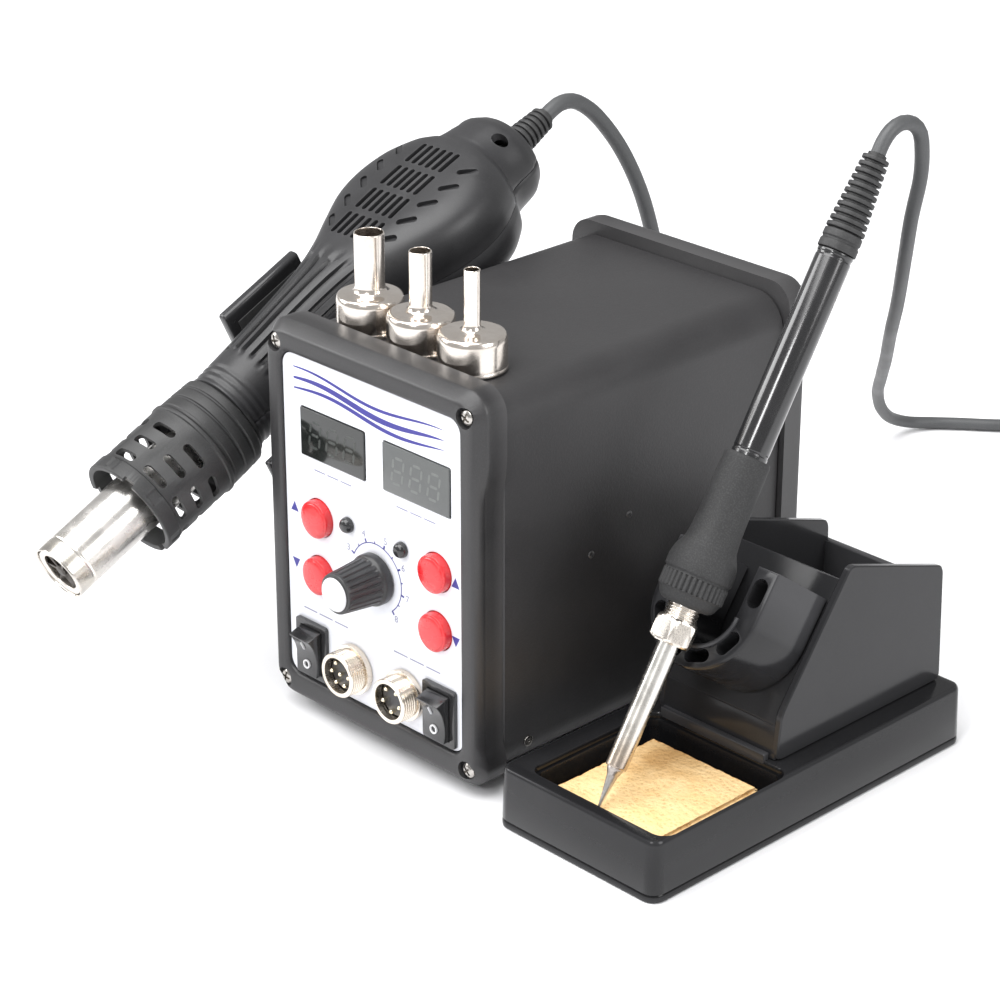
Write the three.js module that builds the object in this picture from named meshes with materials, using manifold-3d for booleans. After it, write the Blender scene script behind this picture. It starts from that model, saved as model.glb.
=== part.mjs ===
// Two-in-one rework station: a desktop case with displays and knobs, a hot-air gun lying in a
// cradle on its left side, three spare air nozzles on its lid and a soldering iron in a stand.
// Millimetres. X to the right of the front panel, Y away from the user, Z up, bench at Z = 0.
import * as THREE from 'three';
import { mergeVertices } from 'three/addons/utils/BufferGeometryUtils.js';
import Module from 'manifold-3d';

const wasm = await Module();
wasm.setup();

// Driving dimensions
const fitGap = 0.3;
const bezel = { halfWidth: 52.5, bottom: 3.5, top: 145, radius: 9, depth: 13 };
const shell = { halfWidth: 50.5, bottom: 4.5, top: 140.5, radius: 12, wall: 2.2, rear: 147 };
const panel = { halfWidth: 43.5, bottom: 15.4, top: 134.7, front: 1.5, back: 3.3 };
const rearDepth = 10;
const foot = { radius: 6.5, height: 4.2, x: 33, frontY: 22, rearY: 137 };
const window1 = { width: 31.8, height: 17.2, z: 108.3, leftX: -18.6, rightX: 22.4 };
const button = { radius: 6.7, leftX: -26.6, rightX: 31.6, upperZ: 78.3, lowerZ: 57.1 };
const plug = { leftX: -11.6, rightX: 15.1, z: 80.9 };
const knob = { x: 2, z: 66, radius: 9.1, length: 17 };
const rocker = { leftX: -31.2, rightX: 33.2, z: 27.2, tiltDeg: 12, pivotY: 1 };
const socket = { leftX: -9.8, rightX: 16, z: 27.8, radius: 8, bore: 6.4, reach: 7 };
const inlet = { x: 16, z: 36, width: 26.6, height: 19.6 };
const nozzle = { y: 25.3, radius: 11.6, bore: 11, baseHeight: 12.6, height: 33.6 };
const gun = { x: -86, y: -64.6, z: 58.7, slopeDeg: 25.4, tubeRadius: 10.75 };
const cradle = { start: 110, end: 148, inner: 20.6, wall: 4.6, rise: 17 };
const iron = { x: 100.5, y: 7, z: 17.2, slopeDeg: 57 };
const stand = { left: 64.1, right: 134.9, front: -3.3, rear: 150.7, height: 22 };
const tray = { left: 70.6, right: 128.4, front: 3.4, rear: 60.2, floor: 9 };
const upright = { left: 73, right: 126, wall: 2.8, front: 63.3, rear: 147.2, slopeDeg: 54.5 };
const fork = { x: 100.5, y: 45.1, z: 75.2, face: -9, back: -39.6, halfWidth: 21.5, notch: 12.6 };
const gunRelief = { end: 256.4, rise: 2 };
const ironReliefEnd = 226;
const gunCord = { diameter: 6, coilX: -46, coilY: 202, coilMean: 30, coilHeight: 17 };
const ironCord = { diameter: 5, coilX: 24, coilY: 394, coilMean: 25, coilHeight: 15 };

const degrees = Math.PI / 180;
const yAxis = new THREE.Vector3(0, 1, 0);

const finish = {
  darkPlastic: { color: 0x2b2b2d, roughness: 0.6, metalness: 0 },
  glossPlastic: { color: 0x141314, roughness: 0.2, metalness: 0 },
  rubber: { color: 0x262628, roughness: 0.8, metalness: 0 },
  white: { color: 0xf2f2f4, roughness: 0.5, metalness: 0 },
  smoked: { color: 0x111613, roughness: 0.1, metalness: 0 },
  red: { color: 0xd9303a, roughness: 0.45, metalness: 0 },
  nickel: { color: 0xcfc8bd, roughness: 0.25, metalness: 1 },
  steel: { color: 0xb4b2ae, roughness: 0.35, metalness: 1 },
  copperCore: { color: 0x8a5a34, roughness: 0.5, metalness: 0.6 },
  board: { color: 0x1f5a35, roughness: 0.6, metalness: 0 },
  ceramic: { color: 0xe6e0d4, roughness: 0.7, metalness: 0 },
  sponge: { color: 0xe6b84e, roughness: 0.95, metalness: 0 },
};

// Solids: a closed geometry becomes a manifold, is joined or cut, and comes back as a geometry
function toSolid(geometry) {
  const bare = geometry.clone();
  bare.deleteAttribute('normal');
  bare.deleteAttribute('uv');
  const merged = mergeVertices(bare, 1e-4);
  const corners = merged.index.array;
  const kept = [];
  for (let i = 0; i < corners.length; i += 3) {
    const [a, b, c] = [corners[i], corners[i + 1], corners[i + 2]];
    if (a !== b && b !== c && c !== a) kept.push(a, b, c);
  }
  return new wasm.Manifold(new wasm.Mesh({
    numProp: 3,
    vertProperties: new Float32Array(merged.attributes.position.array),
    triVerts: new Uint32Array(kept),
  }));
}

function toGeometry(solid) {
  const mesh = solid.getMesh();
  const geometry = new THREE.BufferGeometry();
  geometry.setAttribute('position', new THREE.BufferAttribute(mesh.vertProperties, 3));
  geometry.setIndex(new THREE.BufferAttribute(mesh.triVerts, 1));
  geometry.computeVertexNormals();
  return geometry;
}

function join(...pieces) {
  return toGeometry(pieces.map(toSolid).reduce((sum, piece) => sum.add(piece)));
}

function cut(base, ...tools) {
  return toGeometry(tools.map(toSolid).reduce((rest, tool) => rest.subtract(tool), toSolid(base)));
}

// A turned or lofted skin can come out inside-out; its signed volume tells, and the faces are flipped
function facingOut(geometry) {
  const place = geometry.attributes.position;
  const corners = geometry.index.array;
  const [a, b, c] = [new THREE.Vector3(), new THREE.Vector3(), new THREE.Vector3()];
  let volume = 0;
  for (let i = 0; i < corners.length; i += 3) {
    a.fromBufferAttribute(place, corners[i]);
    b.fromBufferAttribute(place, corners[i + 1]);
    c.fromBufferAttribute(place, corners[i + 2]);
    volume += a.dot(b.cross(c));
  }
  if (volume < 0) {
    for (let i = 0; i < corners.length; i += 3) {
      [corners[i + 1], corners[i + 2]] = [corners[i + 2], corners[i + 1]];
    }
  }
  return geometry;
}

// Turned about Y; each profile point is [radius, height]. A profile off the axis closes on itself
function turned(profile, sides = 24) {
  const points = profile.map(([radius, height]) => new THREE.Vector2(radius, height));
  if (profile[0][0] > 0) points.push(points[0].clone());
  return facingOut(new THREE.LatheGeometry(points, sides));
}

function upward(geometry) {
  return geometry.rotateX(Math.PI / 2);
}

function roundedOutline(halfWidth, bottom, top, radius, middle = 0) {
  const [left, right] = [middle - halfWidth, middle + halfWidth];
  const outline = new THREE.Shape();
  outline.absarc(right - radius, bottom + radius, radius, -Math.PI / 2, 0);
  outline.absarc(right - radius, top - radius, radius, 0, Math.PI / 2);
  outline.absarc(left + radius, top - radius, radius, Math.PI / 2, Math.PI);
  outline.absarc(left + radius, bottom + radius, radius, Math.PI, Math.PI * 1.5);
  return outline;
}

// An outline in X and Z, thick from yFront to yBack
function plate(outline, yFront, yBack, segments = 5) {
  const options = { depth: yBack - yFront, bevelEnabled: false, curveSegments: segments };
  return new THREE.ExtrudeGeometry(outline, options).rotateX(Math.PI / 2).translate(0, yBack, 0);
}

// An outline in Y and Z, thick from xLeft to xRight
function sidePlate(points, xLeft, xRight) {
  const outline = new THREE.Shape(points.map(([y, z]) => new THREE.Vector2(y, z)));
  const geometry = new THREE.ExtrudeGeometry(outline, { depth: xRight - xLeft, bevelEnabled: false });
  const basis = new THREE.Matrix4().makeBasis(
    new THREE.Vector3(0, 1, 0),
    new THREE.Vector3(0, 0, 1),
    new THREE.Vector3(1, 0, 0),
  );
  return geometry.applyMatrix4(basis).translate(xLeft, 0, 0);
}

function slab(outline, bottom, top, segments = 4) {
  const options = { depth: top - bottom, bevelEnabled: false, curveSegments: segments };
  return new THREE.ExtrudeGeometry(outline, options).translate(0, 0, bottom);
}

function block(x0, x1, y0, y1, z0, z1) {
  const geometry = new THREE.BoxGeometry(x1 - x0, y1 - y0, z1 - z0);
  return geometry.translate((x0 + x1) / 2, (y0 + y1) / 2, (z0 + z1) / 2);
}

// A hole with sixteen sides that a circle of the given radius just fits
function roundHole(x, z, radius) {
  const sides = 16;
  const reach = radius / Math.cos(Math.PI / sides);
  return new THREE.Path(Array.from({ length: sides }, (_, index) => {
    const angle = (-index / sides) * 2 * Math.PI;
    return new THREE.Vector2(x + reach * Math.cos(angle), z + reach * Math.sin(angle));
  }));
}

// A tube of round section along a smooth curve through the given points
function cordTube(points, diameter, steps, sides) {
  const route = new THREE.CatmullRomCurve3(points.map((p) => new THREE.Vector3(...p)), false);
  const section = new THREE.Shape();
  section.absarc(0, 0, diameter / 2, 0, 2 * Math.PI);
  const options = { steps, extrudePath: route, curveSegments: sides / 2, bevelEnabled: false };
  return new THREE.ExtrudeGeometry(section, options);
}

const station = new THREE.Group();
const cordNodes = [];

function add(parent, name, geometry, look, place = [0, 0, 0]) {
  const mesh = new THREE.Mesh(geometry, new THREE.MeshStandardMaterial(look));
  mesh.name = name;
  mesh.position.set(...place);
  parent.add(mesh);
  return mesh;
}

// Case: moulded shell between two bezels, panel in the front one, mains panel in the rear one
function addCase() {
  const outer = roundedOutline(shell.halfWidth, shell.bottom, shell.top, shell.radius);
  const { wall } = shell;
  outer.holes.push(roundedOutline(
    shell.halfWidth - wall, shell.bottom + wall, shell.top - wall, shell.radius - wall));
  const shellTube = plate(outer, bezel.depth + fitGap, shell.rear - fitGap, 4);
  add(station, 'case_shell', shellTube, finish.darkPlastic);

  const rim = (halfWidth, bottom, top, radius) => {
    const ring = roundedOutline(bezel.halfWidth, bezel.bottom, bezel.top, bezel.radius);
    ring.holes.push(roundedOutline(halfWidth, bottom, top, radius));
    return ring;
  };
  const ledge = 1.6;
  const frontRim = plate(rim(panel.halfWidth + fitGap, panel.bottom - fitGap,
    panel.top + fitGap, 5), 0, panel.back + fitGap, 3);
  const rearRim = plate(rim(panel.halfWidth - ledge, panel.bottom + ledge,
    panel.top - ledge, 4), panel.back + fitGap, bezel.depth, 3);
  add(station, 'front_bezel', join(frontRim, rearRim), finish.darkPlastic);

  const back = shell.rear + rearDepth;
  const rearOpening = { halfWidth: 44.3, bottom: 13, top: 136 };
  const rear = rim(rearOpening.halfWidth, rearOpening.bottom, rearOpening.top, 6);
  add(station, 'rear_bezel', plate(rear, shell.rear, back, 3), finish.darkPlastic);

  const rearPanel = roundedOutline(rearOpening.halfWidth - fitGap, rearOpening.bottom + fitGap,
    rearOpening.top - fitGap, 5.7);
  rearPanel.holes.push(roundedOutline(inlet.width / 2 + fitGap, inlet.z - inlet.height / 2 - fitGap,
    inlet.z + inlet.height / 2 + fitGap, 0.4, inlet.x));
  for (let row = 0; row < 6; row += 1) {
    const z = 88 + row * 7;
    rearPanel.holes.push(roundedOutline(24, z - 1.5, z + 1.5, 1.4));
  }
  add(station, 'rear_panel', plate(rearPanel, back - 6, back - 4, 1), finish.darkPlastic);
  addInlet(back - 4);

  for (const [side, x] of [['left', -foot.x], ['right', foot.x]]) {
    for (const [end, y] of [['front', foot.frontY], ['rear', foot.rearY]]) {
      const pad = upward(turned([[0, 0], [foot.radius - 1, 0], [foot.radius, 1],
        [foot.radius, foot.height], [0, foot.height]], 12));
      add(station, `foot_${end}_${side}`, pad, finish.rubber, [x, y, 0]);
    }
  }
}

function addInlet(outside) {
  const { x, z } = inlet;
  const [halfWidth, halfHeight] = [inlet.width / 2, inlet.height / 2];
  const body = block(x - halfWidth, x + halfWidth, outside - 18, outside + 1, z - halfHeight,
    z + halfHeight);
  const flange = block(x - halfWidth - 3, x + halfWidth + 3, outside + fitGap, outside + 2.3,
    z - halfHeight - 2.5, z + halfHeight + 2.5);
  const well = block(x - 11.8, x + 11.8, outside - 14, outside + 4, z - 8, z + 8);
  const blades = [[-7, 0], [0, 3], [7, 0]].map(([dx, dz]) => block(
    x + dx - 1, x + dx + 1, outside - 15, outside - 2, z + dz - 2.2, z + dz + 2.2));
  add(station, 'mains_inlet', join(cut(join(body, flange), well), ...blades), finish.darkPlastic);
}

function addInsides() {
  const floor = shell.bottom + shell.wall + fitGap;
  const core = block(-33, 33, 66, 112, floor, floor + 52);
  const winding = block(-23, 23, 56, 122, floor + 11, floor + 41);
  add(station, 'transformer', join(core, winding), finish.copperCore);

  const boardFront = 16;
  const boardPieces = [block(-40, 40, boardFront, boardFront + 1.6, 44, 131)];
  for (const x of [button.leftX, button.rightX]) {
    for (const z of [button.upperZ, button.lowerZ]) {
      boardPieces.push(block(x - 3, x + 3, 10.6, boardFront + 1, z - 3, z + 3));
    }
  }
  for (const x of [window1.leftX, window1.rightX]) {
    boardPieces.push(block(x - 15, x + 15, 3.7, boardFront + 1, window1.z - 8, window1.z + 8));
  }
  add(station, 'control_board', join(...boardPieces), finish.board);

  const pot = turned([[0, 10], [3.3, 10], [3.3, -2.4], [4.2, -2.4], [4.2, -0.2], [6, -0.2],
    [6, panel.front - fitGap], [4.2, panel.front - fitGap], [4.2, panel.back + fitGap],
    [8, panel.back + fitGap], [8, 12], [0, 12]], 14);
  add(station, 'air_potentiometer', pot, finish.steel, [knob.x, 0, knob.z]);
}

function addFrontPanel() {
  const sheet = roundedOutline(panel.halfWidth, panel.bottom, panel.top, 5);
  const holes = [roundHole(knob.x, knob.z, 4.6)];
  for (const x of [button.leftX, button.rightX]) {
    holes.push(roundHole(x, button.upperZ, button.radius + fitGap));
    holes.push(roundHole(x, button.lowerZ, button.radius + fitGap));
  }
  for (const x of [plug.leftX, plug.rightX]) holes.push(roundHole(x, plug.z, 2));
  for (const x of [socket.leftX, socket.rightX]) holes.push(roundHole(x, socket.z, socket.radius + fitGap));
  sheet.holes.push(...holes);
  for (const x of [window1.leftX, window1.rightX]) {
    sheet.holes.push(roundedOutline(window1.width / 2 + fitGap, window1.z - window1.height / 2 - fitGap,
      window1.z + window1.height / 2 + fitGap, 0.8, x));
  }
  for (const x of [rocker.leftX, rocker.rightX]) {
    sheet.holes.push(roundedOutline(6.9, rocker.z - 9.9, rocker.z + 9.9, 0.8, x));
  }
  add(station, 'front_panel', plate(sheet, panel.front, panel.back, 2), finish.white);

  for (const [side, x] of [['left', window1.leftX], ['right', window1.rightX]]) {
    const [halfWidth, halfHeight] = [window1.width / 2, window1.height / 2];
    add(station, `display_window_${side}`, block(x - halfWidth, x + halfWidth, 0.9, panel.back,
      window1.z - halfHeight, window1.z + halfHeight), finish.smoked);
    add(station, `cal_plug_${side}`, turned([[0, -1.7], [1.6, -1.4], [2.5, -0.4], [2.8, 0.5],
      [2.8, 1.2], [1.7, 1.2], [1.7, 5], [0, 5]], 10), finish.glossPlastic,
      [side === 'left' ? plug.leftX : plug.rightX, 0, plug.z]);
  }
}

// Push buttons: domed cap, a flange that keeps it in the panel and a stem towards its switch
function addButtons() {
  const cap = () => turned([[0, -2.5], [3.6, -2.2], [5.8, -1.6], [button.radius, -0.7],
    [button.radius, 3.9], [7.8, 3.9], [7.8, 5], [2, 5], [2, 9.4], [0, 9.4]], 14);
  add(station, 'button_air_up', cap(), finish.red, [button.leftX, 0, button.upperZ]);
  add(station, 'button_air_down', cap(), finish.red, [button.leftX, 0, button.lowerZ]);
  add(station, 'button_iron_up', cap(), finish.red, [button.rightX, 0, button.upperZ]);
  add(station, 'button_iron_down', cap(), finish.red, [button.rightX, 0, button.lowerZ]);
}

function addKnob() {
  const front = -knob.length + 0.2;
  const body = turned([[0, front], [7.1, front], [8.4, -2.6], [knob.radius, -1.8],
    [knob.radius, 0.9], [7.4, 0.9], [7.4, -3.2], [3, -3.2], [3, 9.4], [0, 9.4]], 20);
  add(station, 'air_knob', body, finish.glossPlastic, [knob.x, 0, knob.z]);
  const cap = turned([[0, front - 1.9], [5.4, front - 1.8], [6.6, front - 1], [6.6, front - fitGap],
    [0, front - fitGap]], 16);
  add(station, 'knob_cap', cap, finish.white, [knob.x, 0, knob.z]);
}

// Rocker switches: a flanged housing, and a rocker that turns about X in its cavity
function addRockers() {
  const arc = [];
  for (let step = 0; step <= 8; step += 1) {
    const angle = (-90 + step * 22.5) * degrees;
    arc.push([8.2 * Math.cos(angle), 8.2 * Math.sin(angle)]);
  }
  const profile = [...arc, [-5.2, 7.6], [-3.4, 0], [-5.2, -7.6]];
  for (const [side, x] of [['left', rocker.leftX], ['right', rocker.rightX]]) {
    const flange = block(x - 7.8, x + 7.8, 0, panel.front - fitGap, rocker.z - 10.6, rocker.z + 10.6);
    const body = block(x - 6.6, x + 6.6, 0.5, 17, rocker.z - 9.6, rocker.z + 9.6);
    const cavity = block(x - 5.4, x + 5.4, -1, 12, rocker.z - 8.6, rocker.z + 8.6);
    add(station, `rocker_housing_${side}`, cut(join(flange, body), cavity), finish.glossPlastic);
    const lever = add(station, `rocker_${side}`, sidePlate(profile, -5.1, 5.1), finish.glossPlastic,
      [x, rocker.pivotY, rocker.z]);
    lever.rotation.x = rocker.tiltDeg * degrees;
  }
}

// Round threaded sockets: a metal shell with a flange, and a black insert that holds the pins
function addSockets() {
  for (const [side, x, pins] of [['left', socket.leftX, 6], ['right', socket.rightX, 5]]) {
    const ring = turned([[socket.bore, -socket.reach], [socket.radius, -socket.reach],
      [socket.radius, -0.8], [9, -0.8], [9, panel.front - fitGap],
      [socket.radius, panel.front - fitGap], [socket.radius, 12], [socket.bore, 12]], 18);
    add(station, `socket_shell_${side}`, ring, finish.nickel, [x, 0, socket.z]);
    const disc = turned([[0, -1.4], [6, -1.4], [6, 10], [0, 10]], 14);
    const contacts = Array.from({ length: pins }, (_, index) => {
      const angle = (index / pins) * 2 * Math.PI + Math.PI / 2;
      const pin = new THREE.CylinderGeometry(0.65, 0.65, 5, 5);
      return pin.translate(4.2 * Math.cos(angle), -3.3, 4.2 * Math.sin(angle));
    });
    add(station, `socket_insert_${side}`, join(disc, ...contacts), finish.glossPlastic,
      [x, 0, socket.z]);
  }
}

// Spare nozzles: a cup that slips over the gun's tube and a round outlet, open right through
function addNozzles() {
  const lid = shell.top + fitGap;
  const sizes = [['large', -25.8, 5.1], ['medium', -0.9, 3.8], ['small', 23.5, 2.7]];
  for (const [size, x, outlet] of sizes) {
    const { radius, bore, baseHeight, height } = nozzle;
    const shape = [[bore, 0], [radius, 0], [radius, baseHeight - 1.6], [radius - 1.4, baseHeight],
      [outlet + 0.8, baseHeight + 0.6], [outlet, baseHeight + 1.6], [outlet, height],
      [outlet - 0.5, height], [outlet - 0.5, baseHeight], [outlet - 0.2, baseHeight - 0.4],
      [bore - 1, baseHeight - 1], [bore, baseHeight - 2]];
    add(station, `nozzle_${size}`, upward(turned(shape, 18)), finish.nickel, [x, nozzle.y, lid]);
  }
}

// Hot-air gun, built along its own Y from the mouth of the tube; its Z is the top of the handle
const gunGroup = new THREE.Group();

// Handle outline: [distance, half width, top, bottom, squareness]
const handleStations = [
  [82, 15.6, 17.6, -15.2, 2],
  [88, 15.8, 18, -15, 2],
  [104, 15.8, 19.2, -14.5, 2.1],
  [122, 16, 21, -14.5, 2.2],
  [140, 17.4, 22.4, -15, 2.4],
  [152, 20.4, 23, -16, 2.8],
  [166, 26.4, 23.4, -17, 3.4],
  [178, 31, 23.8, -17.5, 3.8],
  [190, 32.6, 23.8, -17.5, 3.8],
  [202, 30.8, 23.6, -17.5, 3.6],
  [212, 26, 23.2, -17, 3],
  [218, 19.4, 22, -16.4, 2.4],
  [230, 18.2, 20.4, -15.6, 2.2],
  [236, 15.4, 17, -13.4, 2.1],
];

function handleRing([distance, halfWidth, top, bottom, power], inset, sides) {
  const [middle, halfHeight] = [(top + bottom) / 2, (top - bottom) / 2 - inset];
  return Array.from({ length: sides }, (_, index) => {
    const angle = (index / sides) * 2 * Math.PI;
    const [c, s] = [Math.cos(angle), Math.sin(angle)];
    const x = (halfWidth - inset) * Math.sign(c) * Math.abs(c) ** (2 / power);
    const z = middle + halfHeight * Math.sign(s) * Math.abs(s) ** (2 / power);
    return [x, distance, z];
  });
}

function loft(rings) {
  const sides = rings[0].length;
  const middleOf = (ring) => ring.reduce(
    (sum, p) => sum.map((value, axis) => value + p[axis] / sides), [0, 0, 0]);
  const last = rings.length - 1;
  const places = [...rings.flat(), middleOf(rings[0]), middleOf(rings[last])].flat();
  const [firstMiddle, lastMiddle] = [rings.length * sides, rings.length * sides + 1];
  const corners = [];
  for (let side = 0; side < sides; side += 1) {
    const next = (side + 1) % sides;
    for (let row = 0; row < last; row += 1) {
      const [a, b] = [row * sides + side, row * sides + next];
      corners.push(a, b, a + sides, b, b + sides, a + sides);
    }
    corners.push(firstMiddle, next, side);
    corners.push(lastMiddle, last * sides + side, last * sides + next);
  }
  const geometry = new THREE.BufferGeometry();
  geometry.setAttribute('position', new THREE.Float32BufferAttribute(places, 3));
  geometry.setIndex(corners);
  return facingOut(geometry);
}

function addGunHandle() {
  const sides = 16;
  const wall = 2.6;
  const outside = loft(handleStations.map((item) => handleRing(item, 0, sides)));
  const hollow = loft(handleStations.slice(0, -1).map((item, index) => {
    const shifted = [...item];
    if (index === 0) shifted[0] -= 2;
    return handleRing(shifted, wall, sides);
  }));
  const skin = cut(outside, hollow);
  const seam = 2;
  const gapHalf = 0.15;
  const above = block(-40, 40, 70, 250, seam + gapHalf, 40);
  const below = block(-40, 40, 70, 250, -40, seam - gapHalf);
  const exit = turned([[0, 228], [4.4, 228], [4.4, 240], [0, 240]], 16).translate(0, 0, seam);
  const grille = [];
  for (let group = 0; group < 4; group += 1) {
    for (let slot = -2; slot <= 2; slot += 1) {
      const [x, y] = [slot * 3.6, 158 + group * 14];
      grille.push(block(x - 1, x + 1, y, y + 10, 18, 30));
    }
  }
  const upper = cut(skin, below, block(-40, 40, 70, 250, seam - gapHalf - 1, seam + gapHalf),
    exit, ...grille);
  const rotorPost = turned([[0, -16.5], [3, -16.5], [3, 4], [0, 4]], 12)
    .rotateX(Math.PI / 2).translate(0, 190, 0);
  const lower = join(cut(skin, above, block(-40, 40, 70, 250, seam - gapHalf, seam + gapHalf + 1),
    exit), rotorPost);
  add(gunGroup, 'gun_handle_upper', upper, finish.rubber);
  add(gunGroup, 'gun_handle_lower', lower, finish.rubber);

  const rotorRing = turned([[4, -9], [24, -9], [24, 5], [21, 5], [21, -7], [7, -7], [7, 3], [4, 3]], 16)
    .rotateX(Math.PI / 2).translate(0, 190, 0);
  add(gunGroup, 'blower_rotor', rotorRing, finish.darkPlastic);
}

// Heat guard: a sleeve with rows of slots across it and stepped rings where it meets the handle
function addGunGuard() {
  const sleeve = turned([[17, 34], [19.1, 34], [19.1, 66], [18.4, 69], [18, 81.7], [13.9, 81.7],
    [13.9, 70], [17, 66]], 24);
  const slots = [];
  const across = 6;
  for (let row = 0; row < 3; row += 1) {
    for (let index = 0; index < across; index += 1) {
      const slot = block(-4.6, 4.6, 41 + row * 8, 44 + row * 8, 12, 24);
      slots.push(slot.applyMatrix4(new THREE.Matrix4().makeRotationAxis(yAxis,
        (index / across) * 2 * Math.PI)));
    }
  }
  add(gunGroup, 'gun_heat_guard', cut(sleeve, ...slots), finish.rubber);
}

function addGunHeater() {
  const tube = turned([[gun.tubeRadius - 0.8, 0.4], [gun.tubeRadius, 0], [gun.tubeRadius, 96],
    [11.5, 96], [11.5, 98], [gun.tubeRadius - 0.8, 98]], 20);
  add(gunGroup, 'gun_heater_tube', tube, finish.steel);
  const outletRadius = gun.tubeRadius - 0.8 - fitGap;
  const rim = turned([[7.2, 0.6], [outletRadius, 0.6], [outletRadius, 4], [7.2, 4]], 16);
  const spokes = [0, 60, 120].map((turn) => block(-8, 8, 1.4, 3.4, -0.7, 0.7)
    .applyMatrix4(new THREE.Matrix4().makeRotationAxis(yAxis, turn * degrees)));
  const hub = turned([[0, 1], [2.4, 1], [2.4, 4], [0, 4]], 8);
  add(gunGroup, 'gun_outlet_ring', join(rim, hub, ...spokes), finish.steel);
  const core = turned([[0, 10], [8.6, 10], [8.6, 80], [6, 84], [6, 100], [0, 100]], 12);
  add(gunGroup, 'gun_heater_core', core, finish.ceramic);
}

// Ribbed strain relief: rings that get smaller towards the cord
function reliefRibs(start, length, wide, narrow, ribs) {
  const pitch = length / ribs;
  const groove = 0.9;
  const profile = [];
  for (let rib = 0; rib < ribs; rib += 1) {
    const radius = wide + ((narrow - wide) * rib) / (ribs - 1);
    const at = start + rib * pitch;
    profile.push([radius, at], [radius, at + pitch * 0.6]);
    profile.push([radius - groove, at + pitch * 0.6], [radius - groove, at + pitch]);
  }
  return profile;
}

function addGun() {
  addGunHandle();
  addGunGuard();
  addGunHeater();
  const relief = turned([[0, 229], [4, 229], [4, 236.4], ...reliefRibs(236.4, gunRelief.end - 236.4,
    5.4, 4.4, 3), [0, gunRelief.end]], 12);
  add(gunGroup, 'gun_cord_relief', relief, finish.rubber, [0, 0, gunRelief.rise]);
  gunGroup.position.set(gun.x, gun.y, gun.z);
  gunGroup.rotation.x = gun.slopeDeg * degrees;
  station.add(gunGroup);
}

// Cradle: a channel open at the top, on a bracket that is fixed to the left side of the case
function addCradle() {
  const { start, end, inner, wall, rise } = cradle;
  const [outer, bottom, corner] = [inner + wall, -17, 13];
  const channel = new THREE.Shape();
  channel.moveTo(-outer, rise);
  channel.lineTo(-outer, bottom + corner);
  channel.absarc(-outer + corner + wall, bottom + corner, corner + wall, Math.PI, Math.PI * 1.5);
  channel.absarc(outer - corner - wall, bottom + corner, corner + wall, -Math.PI / 2, 0);
  channel.lineTo(outer, rise);
  channel.lineTo(inner, rise);
  channel.absarc(inner - corner, bottom + corner, corner, 0, -Math.PI / 2, true);
  channel.absarc(-inner + corner, bottom + corner, corner, -Math.PI / 2, -Math.PI, true);
  channel.lineTo(-inner, rise);
  channel.closePath();
  const toCase = -shell.halfWidth - fitGap - gun.x;
  const web = block(outer - 1, toCase, start + 5, end - 5, -12, 8);
  const bar = block(outer - 1, outer + 6, start - 36, end - 6, -11, -2);
  const bracket = cut(bar, block(outer - 3, outer + 3.4, start - 40, start - 0.1, -20, 0));
  const mesh = add(station, 'gun_cradle', join(plate(channel, start, end, 6), web, bracket),
    finish.darkPlastic, [gun.x, gun.y, gun.z]);
  mesh.rotation.x = gun.slopeDeg * degrees;
}

// Soldering iron, built along its own Y from the point of the tip
const ironGroup = new THREE.Group();

function addIron() {
  const tip = turned([[0, 0], [0.5, 0.8], [2.75, 11], [2.75, 60], [2.1, 60], [2.1, 18], [0, 16]], 12);
  add(ironGroup, 'iron_tip', tip, finish.steel);
  const heater = turned([[0, 18], [1.8, 18], [1.8, 65], [4.4, 65], [4.4, 70], [0, 70]], 12);
  add(ironGroup, 'iron_heater', heater, finish.ceramic);
  const barrel = turned([[3.1, 14], [3.6, 14], [3.6, 60.4], [4.5, 60.4], [4.5, 62], [3.1, 62]], 14);
  add(ironGroup, 'iron_barrel', barrel, finish.steel);

  const hexagon = new THREE.CylinderGeometry(7.5, 7.5, 8.4, 6).translate(0, 61.2, 0);
  const neck = turned([[0, 65], [5.6, 65], [5.6, 72], [0, 72]], 14);
  const bore = turned([[0, 56], [3.9, 56], [3.9, 60.1], [4.8, 60.1], [4.8, 73], [0, 73]], 14);
  add(ironGroup, 'iron_nut', cut(join(hexagon, neck), bore), finish.nickel);

  const grip = turned([[5.9, 69.8], [8, 69.8], [10.2, 72.6], [11.2, 73.6], [11.2, 83], [11.5, 84],
    [11.5, 91], [7.6, 99], [7, 104], [6.9, 121.5], [6.35, 121.5], [6.35, 100], [5.9, 100]], 16);
  add(ironGroup, 'iron_grip', grip, finish.rubber);
  const tube = turned([[5.4, 100.4], [6.05, 100.4], [6.05, 192], [5.4, 192]], 16);
  add(ironGroup, 'iron_handle_tube', tube, finish.glossPlastic);
  const relief = turned([[0, 184], [5.1, 184], [5.1, 192.3], [6.3, 192.3], [6.3, 198.6],
    ...reliefRibs(199.4, ironReliefEnd - 199.4, 5.7, 3.9, 4), [0, ironReliefEnd]], 12);
  add(ironGroup, 'iron_cord_relief', relief, finish.rubber);
  ironGroup.position.set(iron.x, iron.y, iron.z);
  ironGroup.rotation.x = iron.slopeDeg * degrees;
  station.add(ironGroup);
}

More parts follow.
